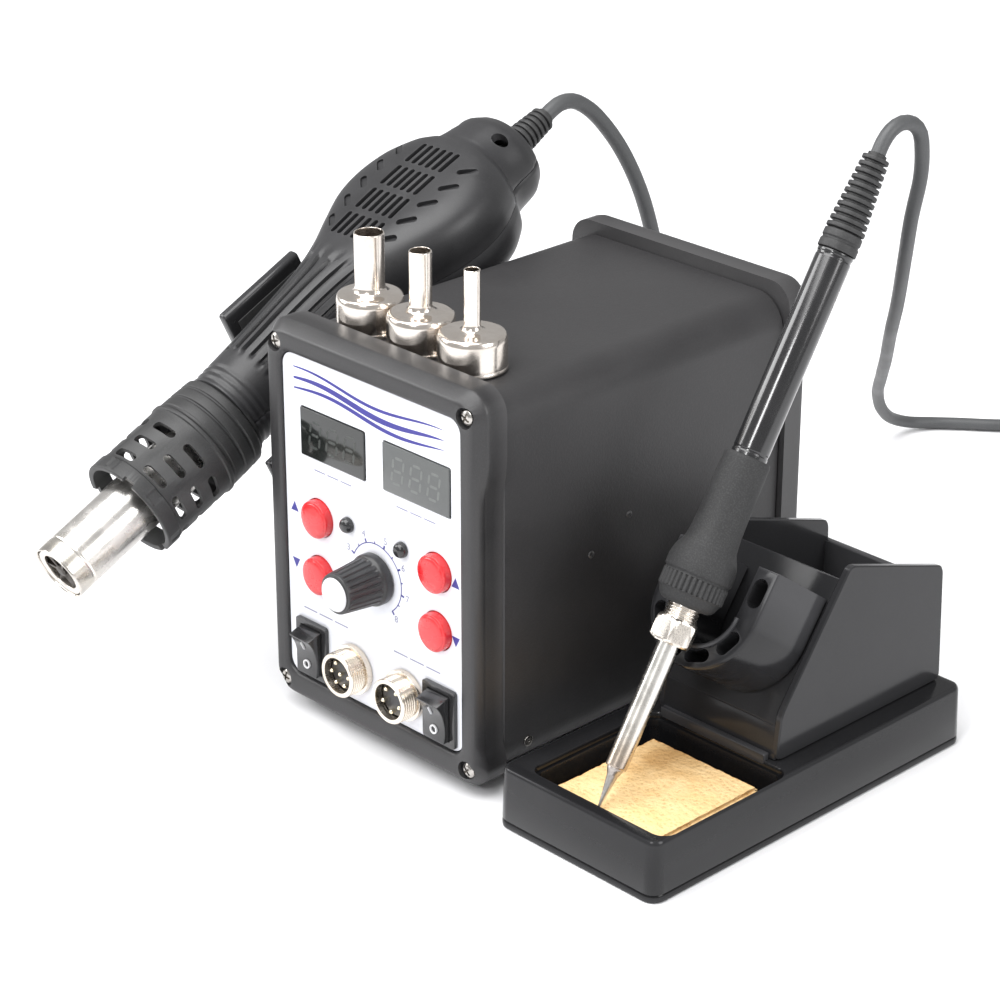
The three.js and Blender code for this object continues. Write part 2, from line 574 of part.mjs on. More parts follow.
// Stand: a tray base, an upright with side walls and a sloping plate, and the fork on that plate
function addStand() {
  const middle = (stand.left + stand.right) / 2;
  const halfWidth = (stand.right - stand.left) / 2;
  const outline = roundedOutline(halfWidth, stand.front, stand.rear, 5, middle);
  const recess = slab(roundedOutline((tray.right - tray.left) / 2, tray.front, tray.rear, 4,
    (tray.left + tray.right) / 2), tray.floor, stand.height + 1);
  const under = block(stand.left + 3, stand.right - 3, 66, stand.rear - 3, -1, stand.height - 3);
  add(station, 'stand_base', cut(slab(outline, 0, stand.height), recess, under), finish.glossPlastic);
  const sponge = block(79.8, 127.2, 5.8, 54.4, tray.floor + fitGap, 17);
  add(station, 'sponge', sponge, finish.sponge);

  const { left, right, wall, front, rear } = upright;
  const seat = stand.height + fitGap;
  const side = [[front, seat], [rear, seat], [145.5, 65.5], [96.5, 81.6], [65, 38.2]];
  const [along, across] = [
    [Math.cos(upright.slopeDeg * degrees), Math.sin(upright.slopeDeg * degrees)],
    [Math.sin(upright.slopeDeg * degrees), -Math.cos(upright.slopeDeg * degrees)],
  ];
  const depth = -fork.back + fitGap;
  const onSlope = (distance, down) => [
    fork.y + distance * along[0] + (depth + down) * across[0],
    fork.z + distance * along[1] + (depth + down) * across[1],
  ];
  const slope = [onSlope(-22, 0), onSlope(-22, 3), onSlope(30, 3), onSlope(30, 0)];
  const frontWall = [[front, seat], [front + 3, seat], onSlope(-19, 3), onSlope(-22, 0)];
  add(station, 'stand_upright', join(
    sidePlate(side, left, left + wall),
    sidePlate(side, right - wall, right),
    sidePlate(slope, left + 1, right - 1),
    sidePlate(frontWall, left + 1, right - 1),
    block(left + 1, right - 1, rear - 3.6, rear - 0.8, seat, 58.6),
  ), finish.glossPlastic);
  addFork();
}

// The fork is a thick U in the plane of the slope, pierced by three slots; its mouth faces upwards
function addFork() {
  const { halfWidth, notch, face, back } = fork;
  const [armTop, seatY, foot] = [22, 4, -16.6];
  const outline = new THREE.Shape();
  outline.moveTo(-halfWidth, armTop);
  outline.lineTo(-halfWidth, seatY);
  outline.absarc(0, seatY, halfWidth, Math.PI, 2 * Math.PI);
  outline.lineTo(halfWidth, armTop);
  outline.lineTo(notch, armTop - 3);
  outline.lineTo(notch, seatY);
  outline.absarc(0, seatY, notch, 0, -Math.PI, true);
  outline.lineTo(-notch, armTop - 3);
  outline.closePath();
  const slot = (x, y, turn, length, width) => slab(
    roundedOutline(width / 2, -length / 2, length / 2, width / 2 - 0.2), back + 6, face + 4, 3)
    .rotateZ(turn * degrees).translate(x, y, 0);
  const solid = cut(slab(outline, back, face, 7), slot(16.8, 13, 0, 10, 4.6),
    slot(14.6, -4.6, -30, 9, 4.6), slot(5.4, -12.2, -70, 9, 4.2),
    block(-30, 30, -40, foot, -60, 10));
  const mesh = add(station, 'iron_receptacle', solid, finish.glossPlastic, [fork.x, fork.y, fork.z]);
  mesh.rotation.x = upright.slopeDeg * degrees;
}

// Cords: a plain tube as far as the coil, a ring for the coil, and the plug that the coil ends in
function addCoil(name, cord, looks) {
  const [inner, outer] = [cord.coilMean - cord.diameter, cord.coilMean + cord.diameter];
  const lift = 0.2;
  const ring = upward(turned([[inner, 0], [outer, 0], [outer, cord.coilHeight],
    [inner, cord.coilHeight]], 28));
  cordNodes.push(add(station, name, ring, looks, [cord.coilX, cord.coilY, lift]));
}

// The plug lies along X; heading is the direction in which it points away from the coil
function addPlug(name, cord, row, heading) {
  const boot = cord.diameter / 2 + 0.4;
  const shape = [[0, 0], [boot, 0], [boot + 1.2, 20], [6.4, 21], [8, 24], [8, 30], [9.2, 31],
    [9.2, 52], [8, 52], [8, 44], [0, 44]];
  const reach = Math.sqrt((cord.coilMean + cord.diameter) ** 2
    - (Math.abs(row - cord.coilY) - boot) ** 2) + 0.8;
  const geometry = turned(shape, 16).rotateZ(-heading * 90 * degrees);
  const mesh = add(station, name, geometry, finish.nickel,
    [cord.coilX + heading * reach, row, 9.4]);
  cordNodes.push(mesh);
}

function endOf(group, distance, rise = 0) {
  group.updateMatrixWorld(true);
  return group.localToWorld(new THREE.Vector3(0, distance, rise)).toArray();
}

function addCords() {
  const gunRoute = [
    endOf(gunGroup, gunRelief.end + fitGap, gunRelief.rise),
    endOf(gunGroup, gunRelief.end + 7, gunRelief.rise),
    [-86, 180, 173.5], [-86, 189, 168.6], [-86, 199, 159], [-86, 209, 146], [-86, 218.5, 129],
    [-86, 226, 109], [-85.8, 231.5, 87], [-85.6, 234.6, 64], [-85.4, 235.8, 42], [-84, 235.6, 24],
    [-79.6, 235.4, 11.6], [-73, 235.2, 5], [-66.7, 235, 3.4],
  ];
  cordNodes.push(add(station, 'gun_cord', cordTube(gunRoute, gunCord.diameter, 18, 8),
    finish.rubber));
  addCoil('gun_cord_coil', gunCord, finish.rubber);
  addPlug('gun_plug', gunCord, gunCord.coilY - gunCord.coilMean - 2, -1);

  const ironRoute = [
    endOf(ironGroup, ironReliefEnd + fitGap),
    endOf(ironGroup, ironReliefEnd + 4),
    [100.8, 135.8, 213], [101.1, 140.4, 214.2], [101.4, 145.4, 212.8], [101.2, 149.2, 208.4],
    [100.4, 151.4, 202], [98, 154.4, 193], [92, 160.4, 177], [80, 173.4, 155.6], [62, 194, 130], [40, 219, 105], [15, 249, 80], [-12, 281, 55.5],
    [-33, 306, 35], [-47, 324, 18.4], [-54.5, 337, 7], [-54.6, 348, 3], [-48, 356.4, 2.7],
    [-36, 366, 2.7], [-22.7, 378, 2.7], [-9.6, 394.8, 2.7],
  ];
  cordNodes.push(add(station, 'iron_cord', cordTube(ironRoute, ironCord.diameter, 40, 8),
    finish.rubber));
  addCoil('iron_cord_coil', ironCord, finish.rubber);
  addPlug('iron_plug', ironCord, ironCord.coilY + ironCord.coilMean + 1.5, 1);
}

// The origin is under the middle of the object, cords left out, on the bench
function centre() {
  const box = new THREE.Box3();
  station.updateMatrixWorld(true);
  station.traverse((item) => {
    if (item.isMesh && !cordNodes.includes(item)) box.expandByObject(item, true);
  });
  const middle = box.getCenter(new THREE.Vector3());
  station.position.set(-middle.x, -middle.y, -box.min.z);
}

addCase();
addInsides();
addFrontPanel();
addButtons();
addKnob();
addRockers();
addSockets();
addNozzles();
addCradle();
addGun();
addStand();
addIron();
addCords();
centre();

export default station;
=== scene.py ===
# Hot-air and soldering station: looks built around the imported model
import math
import bmesh
import bpy
from mathutils import Matrix, Vector, noise


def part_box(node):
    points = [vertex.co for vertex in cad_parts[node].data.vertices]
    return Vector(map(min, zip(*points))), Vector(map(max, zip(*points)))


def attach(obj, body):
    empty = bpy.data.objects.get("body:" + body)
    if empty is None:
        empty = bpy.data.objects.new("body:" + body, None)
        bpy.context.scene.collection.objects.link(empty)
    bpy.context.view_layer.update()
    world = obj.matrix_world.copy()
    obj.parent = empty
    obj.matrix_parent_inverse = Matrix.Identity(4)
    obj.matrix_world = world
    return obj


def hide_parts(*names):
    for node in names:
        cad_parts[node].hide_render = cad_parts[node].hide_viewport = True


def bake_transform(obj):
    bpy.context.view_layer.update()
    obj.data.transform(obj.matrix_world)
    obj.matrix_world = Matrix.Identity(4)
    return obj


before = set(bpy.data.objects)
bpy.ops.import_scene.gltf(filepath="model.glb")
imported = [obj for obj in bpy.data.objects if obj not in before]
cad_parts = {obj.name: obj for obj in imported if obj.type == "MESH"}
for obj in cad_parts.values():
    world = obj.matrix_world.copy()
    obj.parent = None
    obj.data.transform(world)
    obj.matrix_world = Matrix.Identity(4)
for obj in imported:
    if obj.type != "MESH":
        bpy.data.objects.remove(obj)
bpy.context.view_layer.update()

print("frame loaded,", len(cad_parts), "nodes")

# The case frame: millimetres, x from the middle of the case, y from the face of the front bezel
bezelLow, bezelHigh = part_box("front_bezel")
caseFrame = Matrix.Translation(((bezelLow.x + bezelHigh.x) / 2, bezelLow.y, 0)) @ Matrix.Scale(0.001, 4)


def tilted(x, y, z, slope):
    return caseFrame @ Matrix.Translation((x, y, z)) @ Matrix.Rotation(math.radians(slope), 4, "X")


gunFrame = tilted(-86, -64.6, 58.7, 25.4)       # y runs from the mouth of the heater tube to the cord
ironFrame = tilted(100.5, 7, 17.2, 57)          # y runs from the point of the tip to the cord

# Camera
cameraLook = {"place": (667.45, -580.82, 495.55), "azimuth": 46.16, "elevation": 24.43, "lens": 106.5}
cameraData = bpy.data.cameras.new("camera")
cameraData.lens = cameraLook["lens"]
cameraData.sensor_width = 36
cameraData.clip_start = 0.02
camera = bpy.data.objects.new("camera", cameraData)
bpy.context.scene.collection.objects.link(camera)
camera.location = caseFrame @ Vector(cameraLook["place"])
camera.rotation_euler = (math.radians(90 - cameraLook["elevation"]), 0, math.radians(cameraLook["azimuth"]))
bpy.context.scene.camera = camera


# Materials. Lengths in the looks are in millimetres, and patterns follow the piece, not the view.
class Nodes:
    def __init__(self, name):
        self.material = bpy.data.materials.new(name)
        self.material.use_nodes = True
        self.tree = self.material.node_tree
        self.shader = self.tree.nodes["Principled BSDF"]
        self.place = self.tree.nodes.new("ShaderNodeTexCoord").outputs["Object"]

    def link(self, source, target):
        self.tree.links.new(source, target)
        return target

    def add(self, kind, inputs=None, **settings):
        node = self.tree.nodes.new(kind)
        for key, value in settings.items():
            setattr(node, key, value)
        for key, value in (inputs or {}).items():
            if isinstance(value, bpy.types.NodeSocket):
                self.link(value, node.inputs[key])
            else:
                node.inputs[key].default_value = value
        return node

    def stretched(self, scale):
        return self.add("ShaderNodeMapping", {"Vector": self.place, "Scale": scale}).outputs[0]

    def noise(self, size, detail=3, stretch=None):
        where = self.stretched(stretch) if stretch else self.place
        inputs = {"Vector": where, "Scale": 1000 / size, "Detail": detail, "Roughness": 0.55}
        return self.add("ShaderNodeTexNoise", inputs).outputs["Fac"]

    def cells(self, size):
        return self.add("ShaderNodeTexVoronoi",
                        {"Vector": self.place, "Scale": 1000 / size}).outputs["Distance"]

    def ramp(self, value, stops):
        node = self.add("ShaderNodeValToRGB", {"Fac": value})
        band = node.color_ramp
        while len(band.elements) < len(stops):
            band.elements.new(0.5)
        for element, (at, colour) in zip(band.elements, stops):
            element.position = at
            element.color = (*colour, 1) if len(colour) == 3 else colour
        return node.outputs["Color"]

    def spread(self, value, low, high, fromLow=0.3, fromHigh=0.7):
        inputs = {"Value": value, "From Min": fromLow, "From Max": fromHigh, "To Min": low, "To Max": high}
        return self.add("ShaderNodeMapRange", inputs).outputs["Result"]

    def mix(self, factor, a, b):
        node = self.tree.nodes.new("ShaderNodeMix")
        node.data_type = "RGBA"
        for socket, value in ((node.inputs[0], factor), (node.inputs[6], a), (node.inputs[7], b)):
            if isinstance(value, bpy.types.NodeSocket):
                self.link(value, socket)
            else:
                socket.default_value = value if isinstance(value, float) else (*value[:3], 1)
        return node.outputs[2]

    def bump(self, height, depth, normal=None):
        inputs = {"Height": height, "Strength": 1.0, "Distance": depth / 1000}
        if normal:
            inputs["Normal"] = normal
        return self.add("ShaderNodeBump", inputs).outputs["Normal"]

    def worn(self):
        # brighter along outer edges, where hands and tools rub
        return self.spread(self.add("ShaderNodeNewGeometry").outputs["Pointiness"], 0.0, 1.0, 0.515, 0.6)


def moulded(name, look):
    # moulded plastic and rubber: grain, faint patches, rubbed edges and a little dust
    n = Nodes(name)
    patches = n.noise(look.get("patch", 30), 4)
    fine = n.noise(look["grain"], 2)
    colour = n.mix(n.spread(patches, 0.0, 1.0), look["colour"], look["second"])
    colour = n.mix(n.spread(fine, 0.0, look.get("fleck", 0.25), 0.45, 0.75), colour, look["rubbed"])
    colour = n.mix(n.add("ShaderNodeMath", {0: n.worn(), 1: look.get("wear", 0.35)},
                         operation="MULTIPLY").outputs[0], colour, look["rubbed"])
    n.link(colour, n.shader.inputs["Base Color"])
    low, high = look["roughness"]
    n.link(n.spread(patches, low, high), n.shader.inputs["Roughness"])
    rough = n.bump(fine, look["depth"])
    n.link(n.bump(n.noise(look.get("patch", 30) / 2, 3), look["depth"] * 2, rough), n.shader.inputs["Normal"])
    n.shader.inputs["Specular IOR Level"].default_value = look.get("specular", 0.5)
    n.shader.inputs["Coat Weight"].default_value = look.get("coat", 0.0)
    n.shader.inputs["Coat Roughness"].default_value = look.get("coatRoughness", 0.12)
    return n.material


def metal(name, look):
    # turned or plated metal: fine lines one way, cloudy patches, handling smudges
    n = Nodes(name)
    patches = n.noise(look.get("patch", 12), 4)
    lines = n.noise(look["grain"], 3, look.get("stretch", (1, 1, 1)))
    colour = n.mix(n.spread(patches, 0.0, 1.0), look["colour"], look["second"])
    n.link(colour, n.shader.inputs["Base Color"])
    low, high = look["roughness"]
    mixed = n.add("ShaderNodeMath", {0: patches, 1: lines}, operation="MULTIPLY_ADD")
    mixed.inputs[2].default_value = 0.25
    n.link(n.spread(mixed.outputs[0], low, high, 0.4, 0.65), n.shader.inputs["Roughness"])
    n.link(n.bump(lines, look["depth"]), n.shader.inputs["Normal"])
    n.shader.inputs["Metallic"].default_value = 1.0
    return n.material


# Shapes are (points, faces) in millimetres
def joined(*shapes):
    points, faces = [], []
    for shapePoints, shapeFaces in shapes:
        start = len(points)
        points += shapePoints
        faces += [tuple(start + corner for corner in face) for face in shapeFaces]
    return points, faces


def turnedBy(shape, matrix):
    points, faces = shape
    return [matrix @ Vector(point) for point in points], faces


def moved(shape, x, y, z):
    return turnedBy(shape, Matrix.Translation((x, y, z)))


def spun(shape, angle, axis="Y"):
    return turnedBy(shape, Matrix.Rotation(math.radians(angle), 4, axis))


def upright(shape):
    return spun(shape, 90, "X")


def rounded(profile, radius=0.5, steps=3, closed=False):
    # every corner of a profile gets a small arc
    out = []
    count = len(profile)
    for index, point in enumerate(profile):
        if not closed and index in (0, count - 1):
            out.append(tuple(point[:2]))
            continue
        here = Vector(point[:2])
        before, after = Vector(profile[index - 1][:2]), Vector(profile[(index + 1) % count][:2])
        size = point[2] if len(point) > 2 else radius
        reach = min(size, (before - here).length * 0.45, (after - here).length * 0.45)
        start = here + (before - here).normalized() * reach
        end = here + (after - here).normalized() * reach
        for step in range(steps + 1):
            t = step / steps
            out.append(tuple(start.lerp(here, t).lerp(here.lerp(end, t), t)))
    return out


def turned(profile, sides=64, shape=None):
    # a profile of (radius, y) turned about y; shape(angle, radius, y) may change the radius
    points, faces, rows = [], [], []
    for radius, y in profile:
        if radius < 1e-6:
            rows.append([len(points)] * sides)
            points.append((0, y, 0))
            continue
        rows.append(list(range(len(points), len(points) + sides)))
        for index in range(sides):
            angle = 2 * math.pi * index / sides
            r = shape(angle, radius, y) if shape else radius
            points.append((r * math.cos(angle), y, r * math.sin(angle)))
    loops = list(zip(rows, rows[1:]))
    if profile[0][0] > 1e-6 and profile[-1][0] > 1e-6:
        loops.append((rows[-1], rows[0]))
    for lower, upper in loops:
        for index in range(sides):
            following = (index + 1) % sides
            ring = [lower[index], lower[following], upper[following], upper[index]]
            face = [c for place, c in enumerate(ring) if c != ring[place - 1]]
            if len(face) > 2:
                faces.append(tuple(face))
    return points, faces


def lofted(rings, capped=True):
    sides = len(rings[0])
    points = [point for ring in rings for point in ring]
    faces = []
    for row in range(len(rings) - 1):
        for index in range(sides):
            following = (index + 1) % sides
            a, b = row * sides + index, row * sides + following
            faces.append((a, b, b + sides, a + sides))
    if capped:
        faces.append(tuple(range(sides)))
        faces.append(tuple(reversed(range(len(points) - sides, len(points)))))
    return points, faces


def ringed(rings):
    # a loft that closes on itself, such as a frame round an opening
    points, faces = lofted(rings + [rings[0]], capped=False)
    last = len(points) - len(rings[0])
    return points[:last], [tuple(c - last if c >= last else c for c in face) for face in faces]


def roundedOutline(halfWidth, bottom, top, radius, middle=0, steps=8):
    # starts at the bottom of the right side and runs anticlockwise
    corners = ((halfWidth, bottom, -90), (halfWidth, top, 0), (-halfWidth, top, 90),
               (-halfWidth, bottom, 180))
    outline = []
    for x, z, start in corners:
        cx = middle + x - math.copysign(radius, x)
        cz = z + (radius if z == bottom else -radius)
        for step in range(steps + 1):
            angle = math.radians(start + 90 * step / steps)
            outline.append((cx + radius * math.cos(angle), cz + radius * math.sin(angle)))
    return outline


def circle(x, z, radius, sides=40):
    angles = [2 * math.pi * i / sides for i in range(sides)]
    return [(x + radius * math.cos(angle), z + radius * math.sin(angle)) for angle in angles]


def taken(mesh):
    # the points and faces of a working mesh, which is then freed
    mesh.verts.index_update()
    points = [v.co.copy() for v in mesh.verts]
    faces = [tuple(v.index for v in f.verts) for f in mesh.faces]
    mesh.free()
    return points, faces


def plate(outline, holes, front, back):
    # an outline in x and z with holes, thick from front to back in y
    mesh = bmesh.new()
    edges = []
    for loop in [outline, *holes]:
        corners = [mesh.verts.new((x, front, z)) for x, z in loop]
        edges += [mesh.edges.new((a, b)) for a, b in zip(corners, corners[1:] + corners[:1])]
    bmesh.ops.triangle_fill(mesh, use_beauty=True, use_dissolve=False, edges=edges)
    bmesh.ops.join_triangles(mesh, faces=mesh.faces, angle_face_threshold=0.1, angle_shape_threshold=3.1)
    made = bmesh.ops.extrude_face_region(mesh, geom=mesh.faces[:])
    far = [item for item in made["geom"] if isinstance(item, bmesh.types.BMVert)]
    bmesh.ops.translate(mesh, verts=far, vec=(0, back - front, 0))
    return taken(mesh)


def block(x0, x1, y0, y1, z0, z1):
    points = [(x, y, z) for x in (x0, x1) for y in (y0, y1) for z in (z0, z1)]
    return points, [(0, 1, 3, 2), (4, 6, 7, 5), (0, 4, 5, 1), (2, 3, 7, 6), (0, 2, 6, 4), (1, 5, 7, 3)]


def slotBar(halfWidth, halfLength, low, high, steps=5):
    # a bar with round ends: x across, y along, z from low to high
    outline = roundedOutline(halfWidth, -halfLength, halfLength, halfWidth * 0.98, steps=steps)
    return upright(lofted([[(x, v, -y) for x, y in outline] for v in (low, high)]))


def meshOf(name, shape, matrix):
    mesh = bpy.data.meshes.new(name)
    points, faces = shape
    mesh.from_pydata([matrix @ Vector(point) for point in points], [], faces)
    work = bmesh.new()
    work.from_mesh(mesh)
    bmesh.ops.remove_doubles(work, verts=work.verts, dist=1e-6)
    bmesh.ops.recalc_face_normals(work, faces=work.faces)
    work.to_mesh(mesh)
    work.free()
    return mesh


def applied(piece):
    mesh = bpy.data.meshes.new_from_object(piece.evaluated_get(bpy.context.evaluated_depsgraph_get()))
    piece.modifiers.clear()
    piece.data = mesh


def makePiece(name, shape, material, body="root", replaced=None, matrix=caseFrame,
              soften=0.0, holes=None, sharp=38):
    # holes are shapes cut out, soften is the width of the edge rounding, sharp the crease angle kept
    piece = bpy.data.objects.new(name, meshOf(name, shape, matrix))
    bpy.context.scene.collection.objects.link(piece)
    if holes:
        cutter = bpy.data.objects.new(name + "Cut", meshOf(name + "Cut", joined(*holes), matrix))
        bpy.context.scene.collection.objects.link(cutter)
        carve = piece.modifiers.new("carve", "BOOLEAN")
        carve.operation = "DIFFERENCE"
        carve.solver = "EXACT"
        carve.object = cutter
        carve.use_self = True
        applied(piece)
        bpy.data.objects.remove(cutter)
    if soften:
        edge = piece.modifiers.new("edges", "BEVEL")
        edge.width = soften / 1000
        edge.segments = 3
        edge.limit_method = "ANGLE"
        edge.angle_limit = math.radians(sharp)
        applied(piece)
    piece.data.name = name
    piece.data.shade_smooth()
    piece.data.set_sharp_from_angle(angle=math.radians(sharp))
    piece.data.materials.clear()
    piece.data.materials.append(material)
    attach(piece, body)
    if replaced:
        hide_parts(replaced)
    return piece


# Cords: each is one length, down to the bench and round its coil, with a plug at its end
cordLook = {
    "jacket": {"colour": (0.05, 0.052, 0.054), "second": (0.066, 0.068, 0.07), "rubbed": (0.14, 0.14, 0.145),
               "grain": 0.35, "patch": 18, "depth": 0.02, "roughness": (0.42, 0.56), "wear": 0.15},
    "plug": {"colour": (0.03, 0.03, 0.033), "second": (0.045, 0.045, 0.05), "rubbed": (0.12, 0.12, 0.125),
             "grain": 0.3, "depth": 0.01, "roughness": (0.35, 0.5)},
    "nickel": {"colour": (0.78, 0.74, 0.69), "second": (0.66, 0.62, 0.57), "grain": 0.5,
               "stretch": (1, 1, 0.1), "depth": 0.003, "roughness": (0.1, 0.24)},
}


def onCase(partFrame, distance, rise=0):
    return caseFrame.inverted() @ partFrame @ Vector((0, distance, rise))


# down is the run to the bench, coil the angles where the turns start and end, layers their radii and heights
gunCord = {
    "diameter": 6, "body": "heat_gun", "nodes": ["gun_cord", "gun_cord_coil"], "stillFrom": (-86, 226, 60),
    "down": [
        onCase(gunFrame, 256.6, 2), onCase(gunFrame, 263.4, 2), (-86, 180, 173.5), (-86, 189, 168.6),
        (-86, 199, 159), (-86, 209, 146), (-86, 218.5, 129), (-86, 226, 109), (-85.8, 231.5, 87),
        (-85.6, 234.6, 64), (-85.4, 235.8, 42), (-84, 235.6, 24), (-79.6, 235.4, 11.6), (-73, 235.2, 5),
        (-66.7, 235, 3.4)],
    "middle": (-46, 202), "coil": (96, -84),
    "layers": [(33, 3.3), (27, 3.3), (30, 8.5), (27, 13.7), (33, 13.7)],
    "end": [(-52, 169.4, 13.2), (-58, 169.8, 11.6), (-63, 170, 10), (-69.5, 170, 9.4)],
    "plug": "gunPlug", "plugNode": "gun_plug", "heading": -1,
}
ironCord = {
    "diameter": 5, "body": "iron", "nodes": ["iron_cord", "iron_cord_coil"], "stillFrom": (-33, 306, 35),
    "down": [
        onCase(ironFrame, 226.2), onCase(ironFrame, 230), (100.8, 135.7, 213.5), (101.1, 140.8, 215),
        (101.4, 146.1, 213.6), (101.3, 150.2, 209.6), (100.6, 152.6, 203), (98, 156, 193), (92, 160.4, 177),
        (80, 173.4, 155.6), (62, 194, 130), (40, 219, 105), (15, 249, 80), (-12, 281, 55.5), (-33, 306, 35),
        (-44, 323, 20), (-49.4, 337, 10), (-49.6, 349, 4.6), (-44.8, 359, 2.8), (-35.6, 367.6, 2.7),
        (-22.7, 378.6, 2.7), (-9.6, 394.8, 2.7)],
    "middle": (24, 394), "coil": (170, 96),
    "layers": [(27.4, 2.8), (22.5, 2.8), (25, 7.1), (22.5, 11.4), (27.4, 11.4)],
    "end": [(30, 420.9, 10.9), (35, 420.6, 10), (43.5, 420.5, 9.4)],
    "plug": "ironPlug", "plugNode": "iron_plug", "heading": 1,
}
jacket = moulded("cordJacket", cordLook["jacket"])
plugPlastic = moulded("plugPlastic", cordLook["plug"])
nickel = metal("nickelPlate", cordLook["nickel"])


def smoothCurve(points, step=3.0):
    # a smooth line through the given points, about step apart
    points = [Vector(p) for p in points]
    ends = [points[0] * 2 - points[1], *points, points[-1] * 2 - points[-2]]
    line = []
    for before, a, b, after in zip(ends, ends[1:], ends[2:], ends[3:]):
        count = max(2, round((b - a).length / step))
        ka, kb = [max(1e-6, (q - p).length ** 0.5) for p, q in ((before, a), (b, after))]
        k = max(1e-6, (b - a).length ** 0.5)
        ta = ((a - before) / ka - (b - before) / (ka + k) + (b - a) / k) * k
        tb = ((b - a) / k - (after - a) / (k + kb) + (after - b) / kb) * k
        for index in range(count):
            t = index / count
            line.append(a * (2 * t**3 - 3 * t**2 + 1) + ta * (t**3 - 2 * t**2 + t)
                        + b * (3 * t**2 - 2 * t**3) + tb * (t**3 - t**2))
    line.append(points[-1])
    return line


def coilPoints(cord, every=14, lead=70):
    # clockwise turns, a point every few degrees; a turn moves to the next one's radius over its last degrees
    start, end = cord["coil"]
    layers = cord["layers"]
    middleX, middleY = cord["middle"]
    total = start - end + 360 * (len(layers) - 1)
    points = []
    for step in range(1, int(total / every)):
        gone = step * every
        turn = min(int(gone / 360), len(layers) - 1)
        radius, height = layers[turn]
        left = (turn + 1) * 360 - gone
        if left < lead and turn + 1 < len(layers):
            t = 1 - left / lead
            t = t * t * (3 - 2 * t)
            radius += (layers[turn + 1][0] - radius) * t
            height += (layers[turn + 1][1] - height) * t
        angle = math.radians(start - gone)
        points.append((middleX + radius * math.cos(angle), middleY + radius * math.sin(angle), height))
    return points


def cordMesh(name, line, diameter):
    # rings carried along the line without twist, with a faint waviness in the jacket
    angles = [2 * math.pi * k / 16 for k in range(16)]
    normal = Vector((1, 0, 0))
    rings = []
    for index, point in enumerate(line):
        ahead = line[min(index + 1, len(line) - 1)] - line[max(index - 1, 0)]
        ahead.normalize()
        normal = (normal - ahead * normal.dot(ahead)).normalized()
        side = ahead.cross(normal)
        radius = diameter / 2 * (1 + 0.012 * noise.noise(point * 0.11))
        rings.append([point + (normal * math.cos(a) + side * math.sin(a)) * radius for a in angles])
    piece = bpy.data.objects.new(name, meshOf(name, lofted(rings), caseFrame))
    bpy.context.scene.collection.objects.link(piece)
    piece.data.shade_smooth()
    piece.data.set_sharp_from_angle(angle=math.radians(60))
    piece.data.materials.append(jacket)
    return piece


def makePlug(cord):
    # a threaded cable plug: tapered boot, knurled nut and open end
    name, node, heading = cord["plug"], cord["plugNode"], cord["heading"]
    low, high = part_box(node)
    base = Vector((low.x if heading > 0 else high.x, (low.y + high.y) / 2, (low.z + high.z) / 2))
    turn = Matrix.Rotation(math.radians(-90 * heading), 4, "Z")
    matrix = Matrix.Translation(base) @ turn @ Matrix.Scale(0.001, 4)
    radius = cord["diameter"] / 2 + 0.4
    boot = [(0, 0), (radius - 0.2, 0)]
    for rib in range(6):
        wide, narrow, y = radius + 0.1 + rib * 0.2, radius - 0.6 + rib * 0.2, rib * 3
        boot += [(wide, y + 1), (wide, y + 2.6), (narrow, y + 2.9), (narrow, y + 3.7)]
    boot += [(radius + 1.2, 20), (0, 20)]
    bootEnd = makePiece(name + "Boot", turned(rounded(boot, 0.25)), plugPlastic, matrix=matrix)

    def knurl(angle, radius, y):
        return radius - (0.25 if 32.5 < y < 46.5 and math.cos(angle * 30) > 0.2 and radius > 9 else 0)
    nutRows = [(9.1, 32 + 1.5 * step) for step in range(1, 10)]
    shell = [(0, 20.2), (6.3, 20.8), (7.9, 24), (7.9, 30.6), (9.1, 31.2), *nutRows, (9.1, 47), (8.7, 47.6),
             (8.7, 52), (8, 52), (8, 45), (0, 44)]
    metalEnd = makePiece(name, turned(rounded(shell, 0.3), 120, knurl), nickel, replaced=node, matrix=matrix)
    return [bootEnd, metalEnd]


def layCord(name, cord):
    plugPieces = makePlug(cord)
    line = smoothCurve([*cord["down"], *coilPoints(cord), *cord["end"]])
    piece = cordMesh(name, line, cord["diameter"])
    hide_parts(*cord["nodes"])
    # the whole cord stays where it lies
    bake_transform(piece)


layCord("gunCord", gunCord)
layCord("ironCord", ironCord)


def repaint(node, material):
    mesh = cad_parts[node].data
    mesh.materials.clear()
    mesh.materials.append(material)


